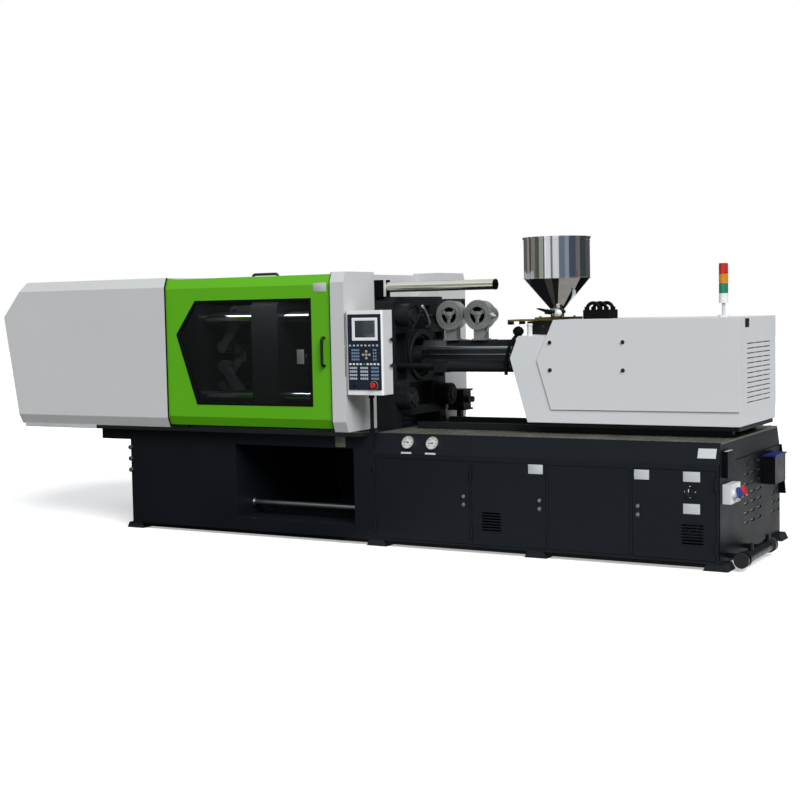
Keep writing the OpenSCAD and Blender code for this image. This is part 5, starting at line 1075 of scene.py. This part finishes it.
# Blowers: the grille of each inlet, and the bracket that stays the second one
blower_low, blower_high = place_of("blower_casings")
BLOWER_R, BLOWER_PITCH = 112, 236
blower_z = blower_high.z - BLOWER_R
blower_side = blower_low.x + 2 * BLOWER_R + BLOWER_PITCH
with piece("blower_grilles", blower_cast, "carriage") as bm:
    for i in range(2):
        hub = Vector((blower_low.x + BLOWER_R + i * BLOWER_PITCH, blower_low.y, blower_z))
        add_washer(bm, hub + Vector((0, 0.5, 0)), FRONT, 60, 82, 4, 48)
        for turn in (math.radians(degrees) for degrees in (90, 210, 330)):
            ray = Vector((math.cos(turn), 0, -math.sin(turn)))
            add_bar(bm, hub + ray * 18, hub + ray * 66, 27, 3.5, FRONT)
        add_turned(bm, hub, FRONT, [(-1, 0), (-1, 29), (4, 29), (6, 26), (6, 12), (9, 10), (9, 0)])
with piece("blower_stay", blower_cast, "carriage") as bm:
    add_turned(bm, (blower_side - 14, blower_low.y + 22, blower_z - 2), (1, 0, -0.25),
               [(-4, 0), (-4, 26), (18, 24), (34, 12), (46, 9), (46, 0)], 24)
    add_bar(bm, (blower_side + 6, blower_low.y + 20, blower_z - 40),
            (blower_side - 88, blower_low.y + 20, blower_low.z + 2), 11, 6, FRONT)

# Right end: the gauze behind the vents, the bright cap of the cable duct and the lids of the sockets
end_top = place_of("end_panel")[1].z
PANEL_BACK = place_of("injection_base")[1].x
# Span in y and in z of each field of vents
VENTS = [(-206, 246, 206, 651), (481, 709, 196, 376)]
DUCT_CAP_Y = (-630, -510)
with piece("vent_gauze", link_iron) as bm:
    for y0, y1, z0, z1 in VENTS:
        add_block(bm, (PANEL_BACK - 3, y0, z0), (PANEL_BACK - 1, y1, z1), 0.5)
with piece("duct_cap", pale_plate) as bm:
    add_block(bm, (PANEL_BACK + 8, DUCT_CAP_Y[0], end_top - 0.5),
              (PANEL_BACK + 33, DUCT_CAP_Y[1], end_top + 3), 1)
socket_low = place_of("socket_station")[0]
SOCKET_W, SOCKET_H, SOCKET_MIDDLE_X, LID_SHARE_UP = 210, 125, 51, 0.45
LID_TILT, LID_OUT = math.radians(70), 38
LID_LEAN = Vector((math.sin(LID_TILT), 0, math.cos(LID_TILT)))
for name, share, lid in (("near_socket_lid", 0.27, blue_plastic), ("far_socket_lid", 0.73, red_plastic)):
    foot = socket_low + Vector((SOCKET_MIDDLE_X, share * SOCKET_W, SOCKET_H * LID_SHARE_UP))
    with piece(name, lid) as bm:
        add_turned(bm, foot + LID_LEAN * LID_OUT, LID_LEAN,
                   [(0, 0), (0, 36), (4, 37), (15, 37), (18.5, 33), (20, 26), (20, 0)])

# Black bands set back under the bases, down towards the floor, that narrow the gap under them
UNDER_BAND_H, UNDER_BAND_IN, UNDER_BAND_T = 26, 12, 6
PAD_TO_UNDER_BAND = 75
under_band_x0 = place_of("levelling_pads")[0].x + PAD_TO_UNDER_BAND
under_band_y0, under_band_y1 = base_low.y + UNDER_BAND_IN, base_high.y - UNDER_BAND_IN
with piece("under_base_bands", rubber) as bm:
    for x0, x1 in ((under_band_x0, -UNDER_BAND_IN), (UNDER_BAND_IN, PANEL_BACK - UNDER_BAND_IN)):
        for ax, bx, ay, by in ((x0, x1, under_band_y0, under_band_y0 + UNDER_BAND_T),
                               (x0, x1, under_band_y1 - UNDER_BAND_T, under_band_y1),
                               (x0, x0 + UNDER_BAND_T, under_band_y0, under_band_y1),
                               (x1 - UNDER_BAND_T, x1, under_band_y0, under_band_y1)):
            add_block(bm, (ax, ay, base_low.z - UNDER_BAND_H), (bx, by, base_low.z + 2), 1)

# Left end: couplings of the cooling water on the clamp base
COUPLING_X, COUPLING_ZS = -2260, (470, 560, 650)
with piece("water_couplings", link_iron) as bm:
    for z in COUPLING_ZS:
        add_turned(bm, (COUPLING_X, BASE_FACE + 40, z), FRONT,
                   [(-8, 0), (-8, 20), (4, 20), (4, 13), (38, 13), (38, 18), (58, 18), (60, 15), (60, 0)], 20)

set_camera()
set_world()
set_floor()
set_lamp("key", "SUN", KEY_FROM, energy=KEY_POWER, angle=KEY_SPREAD)
set_lamp("fill", "SUN", FILL_FROM, energy=FILL_POWER, angle=FILL_SPREAD)
guard_lamp = set_lamp("guard_lamp", "AREA", GUARD_LAMP_FROM, energy=GUARD_LAMP_W, shape="RECTANGLE",
                      size=GUARD_LAMP_SIZE[0], size_y=GUARD_LAMP_SIZE[1])
guard_lamp.location = GUARD_LAMP_AT
set_cards()
